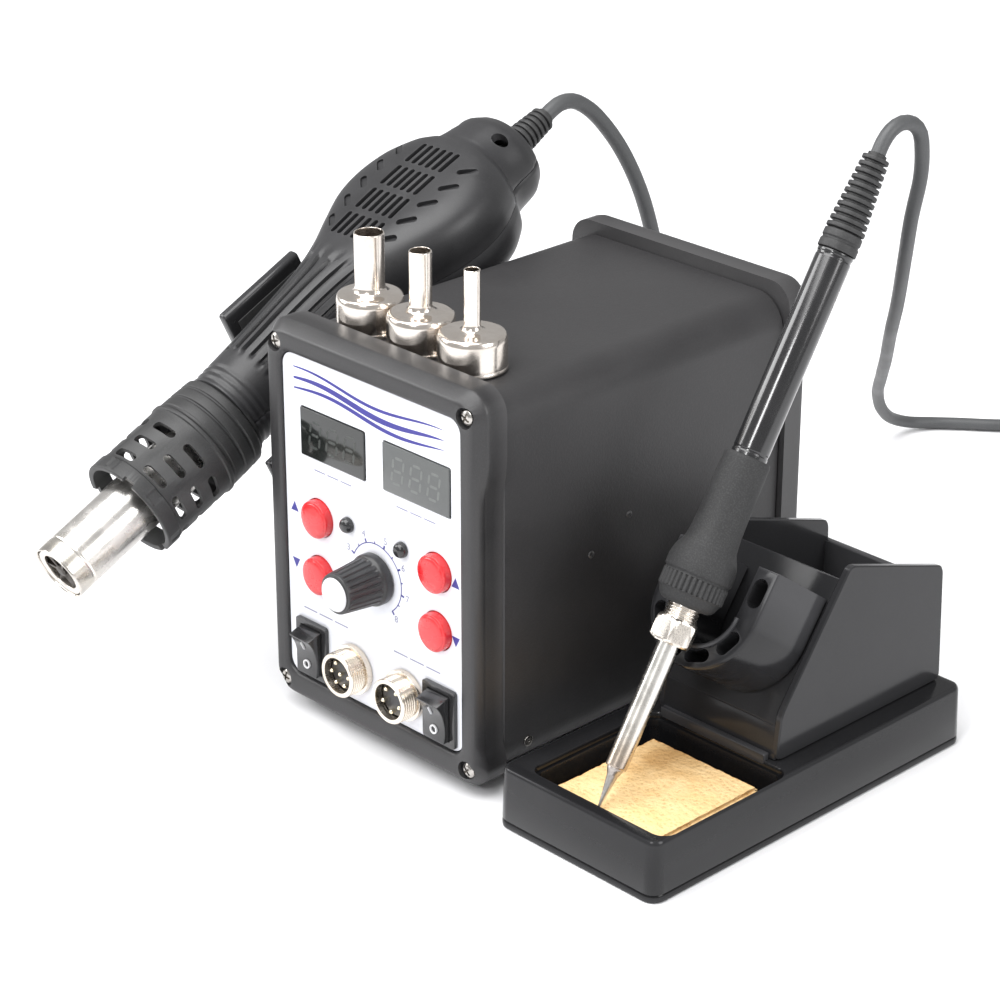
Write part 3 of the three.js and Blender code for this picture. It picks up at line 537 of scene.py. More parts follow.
# Case: shell, bezels, feet and screws
caseLook = {
    "shell": {"colour": (0.014, 0.0135, 0.0145), "second": (0.02, 0.0195, 0.0205),
              "rubbed": (0.06, 0.058, 0.06),
              "grain": 0.7, "patch": 45, "depth": 0.06, "roughness": (0.4, 0.52), "fleck": 0.14,
              "wear": 0.25},
    "bezel": {"colour": (0.014, 0.0135, 0.0145), "second": (0.021, 0.0205, 0.0215),
              "rubbed": (0.085, 0.083, 0.085), "grain": 0.42, "patch": 25, "depth": 0.03,
              "roughness": (0.34, 0.46), "fleck": 0.14, "wear": 0.45},
    "rubber": {"colour": (0.02, 0.02, 0.02), "second": (0.035, 0.035, 0.035), "rubbed": (0.09, 0.088, 0.085),
               "grain": 0.6, "patch": 6, "depth": 0.04, "roughness": (0.75, 0.9), "wear": 0.2},
    "screw": {"colour": (0.5, 0.48, 0.45), "second": (0.36, 0.34, 0.32), "grain": 0.3, "patch": 3,
              "depth": 0.004, "roughness": (0.18, 0.35)},
    # sizes are half width, bottom, top and corner radius
    "shellSize": (50.5, 4.5, 140.5, 12), "wall": 2.2, "front": 13.3, "rear": 146.7,
    "bezelSize": (52.5, 3.5, 145, 9), "opening": (43.8, 15.1, 135, 5), "rearOpening": (44.3, 13, 136, 6),
    # sections are (share of the way from outside to opening, y)
    "section": [(0.0, 12.9), (0.0, 9), (0.0, 7), (0.0, 5.4), (0.008, 4.75), (0.04, 4.2), (0.3, 0.62),
                (0.35, 0.2), (0.42, 0.0), (0.6, 0.0), (0.8, 0.0), (0.9, 0.08), (0.96, 0.4), (0.995, 1.0),
                (1.0, 1.5), (1.0, 12.9)],
    "rearSection": [(0.0, 147.1), (0.0, 154.2), (0.04, 156), (0.16, 156.85), (0.3, 157), (0.82, 157),
                    (0.93, 156.8), (0.985, 156.1), (1.0, 155), (1.0, 147.1)],
    "scoop": 2.1, "scoopTop": 119, "scoopBottom": 13,
    "screwPlaces": [(-46.2, 11), (46.2, 11), (-46.2, 137), (46.2, 137)], "screwTurns": (12, 47, 74, 28),
    "frontScrews": 1.7, "rearScrews": 155.4,
    "wallScrews": [(71.4, 82.9), (53.5, 74)], "wallTab": (24.6, 14.9),
    "feet": {"left": -33, "right": 33, "front": 22, "rear": 137},
}
shellPlastic = moulded("shellPlastic", caseLook["shell"])
bezelPlastic = moulded("bezelPlastic", caseLook["bezel"])
footRubber = moulded("footRubber", caseLook["rubber"])
screwSteel = metal("screwSteel", caseLook["screw"])


def frameOutline(halfWidth, bottom, top, radius, between=18):
    # a rounded outline whose long sides also have points, so that a side can bend
    corners = roundedOutline(halfWidth, bottom, top, radius)
    outline = []
    for index, (x, z) in enumerate(corners):
        outline.append((x, z))
        nx, nz = corners[(index + 1) % len(corners)]
        if index % 9 == 8:
            outline += [(x + (nx - x) * k / between, z + (nz - z) * k / between) for k in range(1, between)]
    return outline


def outlineRing(size, y, inset=0.0):
    halfWidth, bottom, top, radius = size
    return [(x, y, z) for x, z in
            roundedOutline(halfWidth - inset, bottom + inset, top - inset, max(0.3, radius - inset))]


def makeShell():
    look = caseLook
    size, wall, front, rear = look["shellSize"], look["wall"], look["front"], look["rear"]
    side = size[0]
    steps = ((front, 0.5), (front + 0.5, 0), (rear - 0.5, 0), (rear, 0.5), (rear, wall), (front, wall))
    rings = [outlineRing(size, y, inset) for y, inset in steps]
    makePiece("caseShell", ringed(rings), shellPlastic, replaced="case_shell")
    # small countersunk screws and a lanced tab in the right wall
    head = turned(rounded([(0, 0.45), (0.9, 0.42), (1.35, 0.1), (1.5, -0.3), (0, -0.3)], 0.15), 20)
    screws = [moved(spun(head, -90, "Z"), side, y, z) for y, z in look["wallScrews"]]
    makePiece("wallScrews", joined(*screws), bezelPlastic)
    ring = turned(rounded([(0.5, 0), (1.9, 0), (1.9, 0.45), (0.5, 0.45)], 0.15, closed=True), 24)
    makePiece("wallTab", moved(spun(ring, -90, "Z"), side - 0.05, *look["wallTab"]), screwSteel)


def crossScrew(radius, height):
    profile = [(0, -height), (radius * 0.55, -height * 0.94), (radius, -height * 0.35), (radius, 0.8),
               (0, 0.8)]
    reach, low, high = radius * 0.66, -height - 1, -height + 1.3
    cross = [block(-reach, reach, low, high, -0.4, 0.4), block(-0.4, 0.4, low, high, -reach, reach)]
    return turned(rounded(profile, 0.3), 32), cross


def makeBezels():
    look = caseLook
    outer, inner = frameOutline(*look["bezelSize"]), frameOutline(*look["opening"])
    rearInner = frameOutline(*look["rearOpening"])
    flank = look["bezelSize"][0] - 2.5

    def ring(t, y):
        # the flanks are scooped out between the corners
        points = []
        for (ox, oz), (ix, iz) in zip(outer, inner):
            low = min(1, max(0, (look["scoopTop"] - oz) / 11))
            low *= min(1, max(0, (oz - look["scoopBottom"]) / 8))
            low = low * low * (3 - 2 * low) * min(1, max(0, (y - 2.2) / 2.6))
            scoop = look["scoop"] * low * (1 - t) if abs(ox) > flank and t < 0.5 else 0
            x = ox + (ix - ox) * t
            points.append((x - math.copysign(scoop, x), y, oz + (iz - oz) * t))
        return points

    def rearRing(t, y):
        return [(ox + (ix - ox) * t, y, oz + (iz - oz) * t) for (ox, oz), (ix, iz) in zip(outer, rearInner)]
    places = look["screwPlaces"]
    bore = turned([(0, -1), (3.75, -1), (3.5, 0.35), (3.3, 1.9), (0, 1.9)], 32)
    makePiece("frontBezel", ringed([ring(t, y) for t, y in look["section"]]), bezelPlastic,
              replaced="front_bezel", holes=[moved(bore, x, 0, z) for x, z in places])
    bore = turned([(0, 2), (3.6, 2), (3.3, -1.8), (0, -1.8)], 32)
    makePiece("rearBezel", ringed([rearRing(t, y) for t, y in look["rearSection"]]), bezelPlastic,
              replaced="rear_bezel", holes=[moved(bore, x, 157, z) for x, z in places])
    head, cross = crossScrew(2.75, 1.25)
    turns, y = look["screwTurns"], look["frontScrews"]
    front = [moved(spun(head, turn), x, y, z) for (x, z), turn in zip(places, turns)]
    cuts = [moved(spun(bar, turn), x, y, z) for (x, z), turn in zip(places, turns) for bar in cross]
    makePiece("bezelScrews", joined(*front), screwSteel, holes=cuts)
    y = look["rearScrews"]
    back = [moved(spun(head, 180, "Z"), x, y, z) for x, z in places]
    cuts = [moved(spun(bar, 180, "Z"), x, y, z) for x, z in places for bar in cross]
    makePiece("rearScrews", joined(*back), screwSteel, holes=cuts)


def makeFeet():
    profile = [(0, 0), (2.2, 0), (2.4, 0.7), (3.4, 0.7), (3.6, 0), (5.6, 0), (6.5, 1.1), (6.3, 4.2), (0, 4.2)]
    pad = upright(turned(rounded(profile, 0.4), 40))
    feet = caseLook["feet"]
    for side in ("left", "right"):
        for end in ("front", "rear"):
            makePiece("foot_" + end + side.capitalize(), moved(pad, feet[side], feet[end], 0), footRubber,
                      replaced="foot_" + end + "_" + side)


makeShell()
makeBezels()
makeFeet()
print("case made")

# Front panel: sheet, print, windows, buttons, knob, switches and sockets
panelLook = {
    "white": {"colour": (0.78, 0.79, 0.83), "second": (0.74, 0.755, 0.8), "rubbed": (0.66, 0.67, 0.7),
              "grain": 0.5,
              "patch": 30, "depth": 0.006, "roughness": (0.34, 0.44), "fleck": 0.05, "wear": 0.1},
    "ink": {"colour": (0.026, 0.022, 0.21), "second": (0.034, 0.03, 0.25), "rubbed": (0.2, 0.2, 0.45),
            "grain": 0.4, "patch": 8, "depth": 0.004, "roughness": (0.4, 0.5), "fleck": 0.1, "wear": 0.0},
    "paleInk": {"colour": (0.2, 0.2, 0.31), "second": (0.26, 0.26, 0.36), "rubbed": (0.5, 0.5, 0.6),
                "grain": 0.4, "patch": 8, "depth": 0.004, "roughness": (0.4, 0.5), "fleck": 0.1, "wear": 0.0},
    "red": {"colour": (0.62, 0.013, 0.018), "second": (0.54, 0.01, 0.015), "rubbed": (0.75, 0.12, 0.12),
            "grain": 0.4,
            "patch": 5, "depth": 0.006, "roughness": (0.22, 0.34), "coat": 0.35, "wear": 0.2, "fleck": 0.06},
    "black": {"colour": (0.012, 0.012, 0.013), "second": (0.018, 0.018, 0.019), "rubbed": (0.06, 0.06, 0.062),
              "grain": 0.5, "patch": 9, "depth": 0.008, "roughness": (0.14, 0.26), "coat": 0.3, "fleck": 0.1,
              "wear": 0.3},
    "knob": {"colour": (0.014, 0.014, 0.015), "second": (0.022, 0.022, 0.023), "rubbed": (0.07, 0.07, 0.072),
             "grain": 0.4, "patch": 7, "depth": 0.01, "roughness": (0.28, 0.4), "wear": 0.4},
    "cap": {"colour": (0.7, 0.7, 0.71), "second": (0.64, 0.64, 0.66), "rubbed": (0.5, 0.5, 0.5), "grain": 0.4,
            "patch": 6, "depth": 0.006, "roughness": (0.3, 0.42), "fleck": 0.06, "wear": 0.1},
    "windowDark": {"colour": (0.004, 0.005, 0.0048), "second": (0.007, 0.009, 0.008),
                   "rubbed": (0.02, 0.022, 0.02),
                   "grain": 2, "patch": 14, "depth": 0.002, "roughness": (0.05, 0.12), "coat": 0.3,
                   "fleck": 0.1, "coatRoughness": 0.04},
    # the right window's tint, lighter than the left's: a painted reflection on its glass
    "windowGrey": {"colour": (0.032, 0.036, 0.036), "second": (0.04, 0.045, 0.044),
                   "rubbed": (0.09, 0.095, 0.09),
                   "grain": 2, "patch": 14, "depth": 0.002, "roughness": (0.1, 0.2), "coat": 0.5,
                   "fleck": 0.1, "coatRoughness": 0.06},
    "segments": {"colour": (0.018, 0.022, 0.021), "second": (0.022, 0.027, 0.025),
                 "rubbed": (0.06, 0.065, 0.06),
                 "grain": 1, "patch": 5, "depth": 0.002, "roughness": (0.2, 0.3), "coat": 0.4},
    # the right window's digits, lighter than the left's: a painted reflection on the glass
    "segmentsGrey": {"colour": (0.06, 0.066, 0.064), "second": (0.07, 0.076, 0.074),
                     "rubbed": (0.14, 0.15, 0.14),
                     "grain": 1, "patch": 5, "depth": 0.002, "roughness": (0.2, 0.3), "coat": 0.3},
    "sheet": (43.5, 15.4, 134.7, 5), "face": 1.5, "back": 3.3,
    "buttons": {"button_air_up": (-26.6, 78.3), "button_air_down": (-26.6, 57.1),
                "button_iron_up": (31.6, 78.3), "button_iron_down": (31.6, 57.1)},
    "windows": {"left": -18.6, "right": 22.4}, "windowSize": (31.8, 17.2), "windowZ": 108.3,
    "plugs": {"left": -11.6, "right": 15.1}, "plugZ": 80.9, "knobPlace": (2, 66),
    "rockers": {"left": -31.2, "right": 33.2}, "rockerZ": 27.2,
    "sockets": {"left": (-9.8, 6), "right": (16, 5)}, "socketZ": 27.8,
    "scale": {"radius": 12.2, "from": 155, "to": -52, "digits": "345678", "digitSize": 3.5,
              "digitRadius": 15.4},
    # arrows are (x, z, up or down), ribbons (z, thickness), captions (x, z, width)
    "arrows": [(-39.4, 78.6, 1), (-39.4, 57.4, -1), (40.4, 77.4, 1), (40.4, 56.2, -1)],
    "ribbons": [(122.6, 1.5), (125.6, 2.1), (129.0, 1.2)],
    "captions": [(-18.6, 95.2, 20), (22.4, 95.2, 20), (-24, 41.5, 24), (22, 41.5, 24)],
    "rockerTilt": 12, "segmentSlant": 0.14,
    "brass": {"colour": (0.82, 0.75, 0.66), "second": (0.7, 0.63, 0.54), "grain": 0.4,
              "stretch": (1, 0.15, 1), "patch": 5, "depth": 0.004, "roughness": (0.16, 0.32)},
    "pinMetal": {"colour": (0.8, 0.74, 0.6), "second": (0.7, 0.63, 0.48), "grain": 0.2, "patch": 2,
                 "depth": 0.002, "roughness": (0.15, 0.25)},
}
paint = {key: moulded("panel" + key[0].upper() + key[1:], panelLook[key]) for key in
         ("white", "ink", "paleInk", "red", "black", "knob", "cap", "windowDark", "windowGrey", "segments",
          "segmentsGrey")}
face = panelLook["face"]


def makeSheet():
    look = panelLook
    width, height = look["windowSize"]
    windowZ, rockerZ = look["windowZ"], look["rockerZ"]
    holes = [circle(*look["knobPlace"], 4.6)]
    holes += [circle(x, z, 7.0) for x, z in look["buttons"].values()]
    holes += [circle(x, look["plugZ"], 2) for x in look["plugs"].values()]
    holes += [circle(x, look["socketZ"], 8.3) for x, pins in look["sockets"].values()]
    low, high = windowZ - height / 2 - 0.3, windowZ + height / 2 + 0.3
    holes += [roundedOutline(width / 2 + 0.3, low, high, 0.8, x, 4) for x in look["windows"].values()]
    holes += [roundedOutline(6.9, rockerZ - 9.9, rockerZ + 9.9, 0.8, x, 4) for x in look["rockers"].values()]
    makePiece("frontPanel", plate(roundedOutline(*look["sheet"]), holes, face, look["back"]), paint["white"],
              replaced="front_panel", soften=0.15)


def flatShape(outline, height=0.06):
    # a thin print on the face of the panel
    return lofted([[(x, y, z) for x, z in outline] for y in (face - height, face + 0.02)])


def textShape(text, size, x, z):
    curve = bpy.data.curves.new("digit", "FONT")
    curve.body, curve.size, curve.extrude = text, size, 0.03
    curve.align_x, curve.align_y = "CENTER", "CENTER"
    curve.resolution_u = 3
    item = bpy.data.objects.new("digit", curve)
    bpy.context.scene.collection.objects.link(item)
    mesh = bpy.data.meshes.new_from_object(item.evaluated_get(bpy.context.evaluated_depsgraph_get()))
    points = [(x + v.co.x, face - 0.03 + v.co.z, z + v.co.y) for v in mesh.vertices]
    faces = [tuple(polygon.vertices) for polygon in mesh.polygons]
    bpy.data.objects.remove(item)
    bpy.data.curves.remove(curve)
    bpy.data.meshes.remove(mesh)
    return points, faces


def makePrint():
    scale = panelLook["scale"]
    radius = scale["radius"]
    kx, kz = panelLook["knobPlace"]

    def dial(share):
        return math.radians(scale["from"] + (scale["to"] - scale["from"]) * share)
    marks = []
    for x, z, way in panelLook["arrows"]:
        marks.append(flatShape([(x - 1.9, z - 1.7 * way), (x + 1.9, z - 1.7 * way), (x, z + 1.9 * way)]))
    angles = [dial(i / 48) for i in range(49)]
    band = [(kx + r * math.cos(a), kz + r * math.sin(a))
            for r, run in ((radius + 0.22, angles), (radius - 0.12, angles[::-1])) for a in run]
    marks.append(flatShape(band))
    for index in range(11):
        reach, wide = (1.5, 0.34) if index % 2 == 0 else (0.9, 0.22)
        c, s = math.cos(dial(index / 10)), math.sin(dial(index / 10))
        corners = [(radius + a, b) for a, b in ((0, -wide), (reach, -wide), (reach, wide), (0, wide))]
        marks.append(flatShape([(kx + u * c - v * s, kz + u * s + v * c) for u, v in corners]))
    # a wave of three plain ribbons across the top
    for row, (low, thick) in enumerate(panelLook["ribbons"]):
        top, bottom = [], []
        for step in range(41):
            t = step / 40
            x = -38 + 76 * t
            z = low + 1.5 * math.sin(2 * math.pi * (t * 1.15 + row * 0.07)) - 1.2 * t
            half = thick / 2 * math.sin(math.pi * min(1, 0.06 + t * 0.97)) ** 0.6
            top.append((x, z + half))
            bottom.append((x, z - half))
        marks.append(flatShape(top + bottom[::-1]))
    makePiece("panelPrint", joined(*marks), paint["ink"])
    digits = []
    for index, text in enumerate(scale["digits"]):
        x = kx + scale["digitRadius"] * math.cos(dial(index / 5))
        z = kz + scale["digitRadius"] * math.sin(dial(index / 5))
        digits.append(textShape(text, scale["digitSize"], x, z))
    # three dashes stand for each caption
    for x, z, wide in panelLook["captions"]:
        for part in range(3):
            left = x - wide / 2 + part * wide / 3
            right = left + wide / 3 - 1.2
            digits.append(flatShape([(left, z), (right, z), (right, z + 0.5), (left, z + 0.5)], 0.04))
    makePiece("panelMarks", joined(*digits), paint["paleInk"])


def makeWindows():
    width, height = panelLook["windowSize"]
    middle, slant = panelLook["windowZ"], panelLook["segmentSlant"]
    flat = [(-1.9, 0), (-1.4, 0.5), (1.4, 0.5), (1.9, 0), (1.4, -0.5), (-1.4, -0.5)]
    tall = [(0, -1.75), (0.5, -1.25), (0.5, 1.25), (0, 1.75), (-0.5, 1.25), (-0.5, -1.25)]
    segments = [(flat, 0, 4.6), (flat, 0, 0), (flat, 0, -4.6), (tall, -2.5, 2.3), (tall, 2.5, 2.3),
                (tall, -2.5, -2.3), (tall, 2.5, -2.3)]
    for side, x in panelLook["windows"].items():
        # the right window and its digits take the lighter copies, which are a painted reflection
        dark = side == "left"
        outline = roundedOutline(width / 2, middle - height / 2, middle + height / 2, 0.5, x, 3)
        makePiece("window" + side.capitalize(), plate(outline, [], 0.95, 3.3),
                  paint["windowDark" if dark else "windowGrey"], replaced="display_window_" + side,
                  soften=0.12)
        bars = []
        for digit in (-1, 0, 1):
            for outline, dx, dz in segments:
                cx = x + digit * 8.6 + dx
                bars.append(lofted([[(cx + u + slant * (dz + v), y, middle + dz + v) for u, v in outline]
                                    for y in (0.93, 1.0)]))
        makePiece("digits" + side.capitalize(), joined(*bars), paint["segments" if dark else "segmentsGrey"])


def makeButtons():
    look = panelLook
    profile = [(0, -2.3), (2.6, -2.24), (4.7, -2.02), (5.7, -1.7), (5.9, -1.45), (6.5, -1.3), (6.7, -0.5),
               (6.7, 3.9), (7.8, 3.9), (7.8, 5), (0, 5)]
    cap = turned(rounded(profile, 0.5), 64)
    for node, (x, z) in look["buttons"].items():
        name = "".join(word.capitalize() for word in node.split("_"))
        makePiece(name[0].lower() + name[1:], moved(cap, x, 0, z), paint["red"], body=node, replaced=node)
    profile = [(0, -1.7), (1.0, -1.62), (2.0, -1.15), (2.6, -0.3), (2.8, 0.5), (2.8, 1.45), (0, 1.45)]
    dome = turned(rounded(profile, 0.3), 40)
    for side, x in look["plugs"].items():
        makePiece("calPlug" + side.capitalize(), moved(dome, x, 0, look["plugZ"]), paint["black"],
                  replaced="cal_plug_" + side)


def makeKnob():
    def flutes(angle, radius, y):
        deep = 0.55 * min(1, max(0, (y + 16.2) / 1.2)) * min(1, max(0, (-2.9 - y) / 0.8))
        return radius - deep * max(0.0, math.cos(angle * 22)) ** 0.7 if radius > 6.8 else radius
    kx, kz = panelLook["knobPlace"]
    side = [(7.1 + 1.3 * k / 14, -16.8 + 14 * k / 14) for k in range(1, 15)]
    profile = [(0, -16.8), (7.0, -16.8), *side, (8.9, -2.3), (9.1, -1.6), (9.1, 0.9), (0, 0.9)]
    makePiece("airKnob", moved(turned(rounded(profile, 0.3), 176, flutes), kx, 0, kz), paint["knob"],
              body="air_knob", replaced="air_knob", sharp=50)
    profile = [(0, -18.3), (3, -18.27), (5.1, -18.05), (5.9, -17.5), (5.9, -16.85), (0, -16.85)]
    makePiece("knobCap", moved(turned(rounded(profile, 0.4), 64), kx, 0, kz), paint["cap"], body="air_knob",
              replaced="knob_cap")


def makeRockers():
    middle, tilt = panelLook["rockerZ"], panelLook["rockerTilt"]
    # the lever's side: a half round behind, and two faces that dip a little in front
    profile = [(8.2 * math.cos(math.radians(a)), 8.2 * math.sin(math.radians(a))) for a in range(-90, 91, 9)]
    for sign, run in ((1, [1 - k / 10 for k in range(11)]), (-1, [k / 10 for k in range(1, 11)])):
        profile += [(-3.4 - 1.8 * t + 0.55 * math.sin(math.pi * t), sign * 7.6 * t) for t in run]
    lever = lofted([[(u, y, z) for y, z in profile] for u in (-5.1, 5.1)])
    stroke = spun(block(-0.28, 0.28, -0.35, 0.6, -1.6, 1.6), tilt + 1.4, "X")
    ring = spun(turned([(1.15, -0.35), (1.65, -0.35), (1.65, 0.6), (1.15, 0.6)], 32), -tilt - 1.4, "X")
    marks = joined(moved(stroke, 0, -3.98, 3.9), moved(ring, 0, -4.0, -3.9))
    for side, x in panelLook["rockers"].items():
        opening = roundedOutline(5.4, middle - 8.6, middle + 8.6, 0.5, x, 3)
        flange = plate(roundedOutline(7.8, middle - 10.6, middle + 10.6, 1.1, x, 5), [opening], 0.0, 1.35)
        well = plate(roundedOutline(6.6, middle - 9.6, middle + 9.6, 0.6, x, 3), [opening], 1.4, 11)
        back = block(x - 5.5, x + 5.5, 11, 12, middle - 8.7, middle + 8.7)
        name, body = side.capitalize(), "rocker_" + side
        matrix = caseFrame @ Matrix.Translation((x, 1, middle)) @ Matrix.Rotation(math.radians(tilt), 4, "X")
        makePiece("rockerHousing" + name, joined(flange, well, back), paint["black"],
                  replaced="rocker_housing_" + side, soften=0.35)
        makePiece("rocker" + name, lever, paint["black"], body=body, replaced=body, matrix=matrix,
                  soften=0.3)
        makePiece("rockerMarks" + name, marks, paint["cap"], body=body, matrix=matrix)


def makeSockets():
    brass = metal("socketShell", panelLook["brass"])
    pinMetal = metal("pinMetal", panelLook["pinMetal"])
    insulator = moulded("socketInsulator", panelLook["knob"])
    height = panelLook["socketZ"]
    threads = [(6.4, -6.9), (7.7, -7.0)]
    for turn in range(6):
        y = -6.6 + turn * 0.92
        threads += [(8.0, y), (8.0, y + 0.3), (7.55, y + 0.55), (7.55, y + 0.68)]
    threads += [(7.6, -0.95), (9, -0.85), (9, 1.2), (8, 1.2), (8, 8), (6.4, 8)]
    shell = turned(rounded(threads, 0.12), 80)
    disc = turned(rounded([(0, -4.2), (5.2, -4.2), (5.3, -3.8), (6.05, -3.8), (6.05, 8), (0, 8)], 0.15), 56)
    pin = turned(rounded([(0, -6.1), (0.45, -6.05), (0.8, -5.6), (0.8, -1.0), (0, -1.0)], 0.15), 16)
    keyway = block(-0.7, 0.7, -5, 1, 5.2, 7)
    for side, (x, pins) in panelLook["sockets"].items():
        name = side.capitalize()
        makePiece("socketShell" + name, moved(shell, x, 0, height), brass, replaced="socket_shell_" + side,
                  sharp=55)
        makePiece("socketInsert" + name, moved(disc, x, 0, height), insulator,
                  replaced="socket_insert_" + side, holes=[moved(keyway, x, 0, height)])
        angles = [math.pi / 2 + math.pi / pins + 2 * math.pi * k / pins for k in range(pins)]
        places = [(4.2 * math.cos(a), 4.2 * math.sin(a)) for a in angles]
        if side == "left":
            places[-1] = (0, 0)
        makePiece("socketPins" + name, joined(*[moved(pin, x + u, 0, height + v) for u, v in places]),
                  pinMetal)


makeSheet()
makePrint()
makeWindows()
makeButtons()
makeKnob()
makeRockers()
makeSockets()
print("front panel made")

# Nozzles on the lid: cup with a bead, rounded shoulder and a rolled lip
nozzleLook = {
    "metal": {"colour": (0.82, 0.76, 0.7), "second": (0.7, 0.64, 0.58), "grain": 0.35,
              "stretch": (0.25, 0.25, 1), "patch": 9, "depth": 0.003, "roughness": (0.13, 0.27)},
    # pieces are (x, radius of the outlet)
    "y": 25.3, "z": 140.8, "pieces": {"large": (-25.8, 5.1), "medium": (-0.9, 3.8), "small": (23.5, 2.7)},
}


def makeNozzles():
    look = nozzleLook
    plating = metal("nozzlePlate", look["metal"])
    bead = [(11, 0.1), (11.5, 0), (11.75, 0.4), (11.7, 1.1), (11.5, 1.5)]
    cup = [(11.5, 10.6, 1.0), (10.9, 12.1, 0.8), (10.0, 12.5, 0.4)]
    seam = upright(spun(block(-0.14, 0.14, 0.8, 10.6, 11.42, 11.9), 200))
    for size, (x, outlet) in look["pieces"].items():
        neck = [(outlet + 2.0, 12.7, 0.6), (outlet + 0.7, 13.2, 0.5), (outlet, 14.6, 1.4), (outlet, 33.4),
                (outlet - 0.42, 33.6), (outlet - 0.5, 33.2), (outlet - 0.5, 12.4), (outlet - 0.2, 12.2)]
        shape = turned(rounded([*bead, *cup, *neck, (10, 11.6), (11, 10.6)], 0.35, closed=True), 72)
        body = "nozzle_" + size
        makePiece("nozzle" + size.capitalize(), moved(upright(shape), x, look["y"], look["z"]), plating,
                  body=body, replaced=body, sharp=50,
                  holes=[moved(seam, x, look["y"], look["z"])])


makeNozzles()
print("nozzles made")

# Hot-air gun
gunLook = {
    "skin": {"colour": (0.016, 0.0158, 0.017), "second": (0.024, 0.0238, 0.0255),
             "rubbed": (0.08, 0.08, 0.083),
             "grain": 0.4, "patch": 22, "depth": 0.03, "roughness": (0.34, 0.46), "fleck": 0.15, "wear": 0.4},
    "guard": {"colour": (0.012, 0.012, 0.0125), "second": (0.018, 0.018, 0.0185),
              "rubbed": (0.09, 0.09, 0.09),
              "grain": 0.35, "patch": 14, "depth": 0.03, "roughness": (0.46, 0.6), "wear": 0.5},
    "relief": {"colour": (0.012, 0.012, 0.0125), "second": (0.019, 0.019, 0.02), "rubbed": (0.1, 0.1, 0.1),
               "grain": 0.4, "patch": 8, "depth": 0.02, "roughness": (0.5, 0.64), "wear": 0.4},
    # stations are (distance, half width, top, bottom, squareness)
    "stations": [(82, 15.6, 17.6, -15.2, 2), (88, 15.8, 18, -15, 2), (104, 15.8, 19.2, -14.5, 2.1),
                 (122, 16, 21, -14.5, 2.2), (140, 17.4, 22.4, -15, 2.4), (152, 20.4, 23, -16, 2.8),
                 (166, 26.4, 23.4, -17, 3.4), (178, 31, 23.8, -17.5, 3.8), (190, 32.6, 23.8, -17.5, 3.8),
                 (202, 30.8, 23.6, -17.5, 3.6), (212, 26, 23.2, -17, 3), (218, 19.4, 22, -16.4, 2.4),
                 (230, 18.2, 20.4, -15.6, 2.2), (236, 15.4, 17, -13.4, 2.1)],
    "neckGrooves": (84.4, 87.2, 90), "seam": 2, "wall": 2.6,
    "grille": {"groups": 4, "pitch": 13.4, "start": 163, "length": 11, "across": 3.5, "half": 1.05},
    "dimples": {"start": 163, "pitch": 10, "x": 14.6, "slant": 48}, "rearHoles": (11.5, 225.5),
    "ribs": {"from": 98, "to": 152, "angles": (20, 36, 52, 68, 84, 96, 112, 128, 144, 160), "depth": 1.5,
             "half": 3.6},
    "screwWells": [(-20, 180), (20, 180), (0, 110)], "rotor": 190,
    "guardRows": {"count": 3, "start": 42.9, "pitch": 7.6, "slots": 8, "twist": 6},
    "soot": {"colour": (0.16, 0.15, 0.14), "second": (0.06, 0.055, 0.05), "grain": 0.4, "patch": 4,
             "depth": 0.01, "roughness": (0.4, 0.6)},
    "ceramic": {"colour": (0.62, 0.56, 0.47), "second": (0.5, 0.44, 0.36), "rubbed": (0.75, 0.7, 0.62),
                "grain": 0.5, "patch": 5, "depth": 0.02, "roughness": (0.8, 0.92), "wear": 0.2},
    "heatColours": [(0.0, (0.6, 0.57, 0.53)), (0.1, (0.7, 0.66, 0.59)), (0.3, (0.78, 0.75, 0.71)),
                    (0.6, (0.8, 0.77, 0.74)), (1.0, (0.76, 0.74, 0.71))],
}
gunPlastic = moulded("gunPlastic", gunLook["skin"])
guardPlastic = moulded("guardPlastic", gunLook["guard"])
reliefRubber = moulded("reliefRubber", gunLook["relief"])
coreCeramic = moulded("coreCeramic", gunLook["ceramic"])


def along(n, matrix, start, end):
    # 0 to 1 between two distances along a part's own axis
    axis = (matrix.to_3x3() @ Vector((0, 1, 0))).normalized()
    offset = (matrix @ Vector((0, 0, 0))).dot(axis)
    dot = n.add("ShaderNodeVectorMath", {0: n.place, 1: tuple(axis)},
                operation="DOT_PRODUCT").outputs["Value"]
    return n.spread(dot, 0.0, 1.0, offset + start / 1000, offset + end / 1000)


def heated(name, matrix, stops, start, end, roughness):
    # bare metal that has turned straw, bronze and blue where it gets hot
    n = Nodes(name)
    lines = n.noise(0.3, 3, (1, 1, 1))
    patches = n.noise(7, 4)
    wobble = n.add("ShaderNodeMath", {0: n.spread(patches, -0.07, 0.07), 1: along(n, matrix, start, end)},
                   operation="ADD").outputs[0]
    colour = n.ramp(wobble, stops)
    n.link(n.mix(n.spread(lines, 0.0, 0.22, 0.45, 0.7), colour, (0.3, 0.28, 0.26)),
           n.shader.inputs["Base Color"])
    n.link(n.spread(patches, *roughness), n.shader.inputs["Roughness"])
    n.link(n.bump(lines, 0.004), n.shader.inputs["Normal"])
    n.shader.inputs["Metallic"].default_value = 1.0
    return n.material


def stationAt(stations, y):
    # smooth value of every column of the stations at a distance
    rows = [stations[0], *stations, stations[-1]]
    for before, a, b, after in zip(rows, rows[1:], rows[2:], rows[3:]):
        if y <= b[0]:
            break
    t = min(1, max(0, (y - a[0]) / (b[0] - a[0])))
    out = []
    for p0, p1, p2, p3 in zip(before[1:], a[1:], b[1:], after[1:]):
        m1, m2 = (p2 - p0) / 2, (p3 - p1) / 2
        out.append((2 * t**3 - 3 * t**2 + 1) * p1 + (t**3 - 2 * t**2 + t) * m1
                   + (3 * t**2 - 2 * t**3) * p2 + (t**3 - t**2) * m2)
    return out


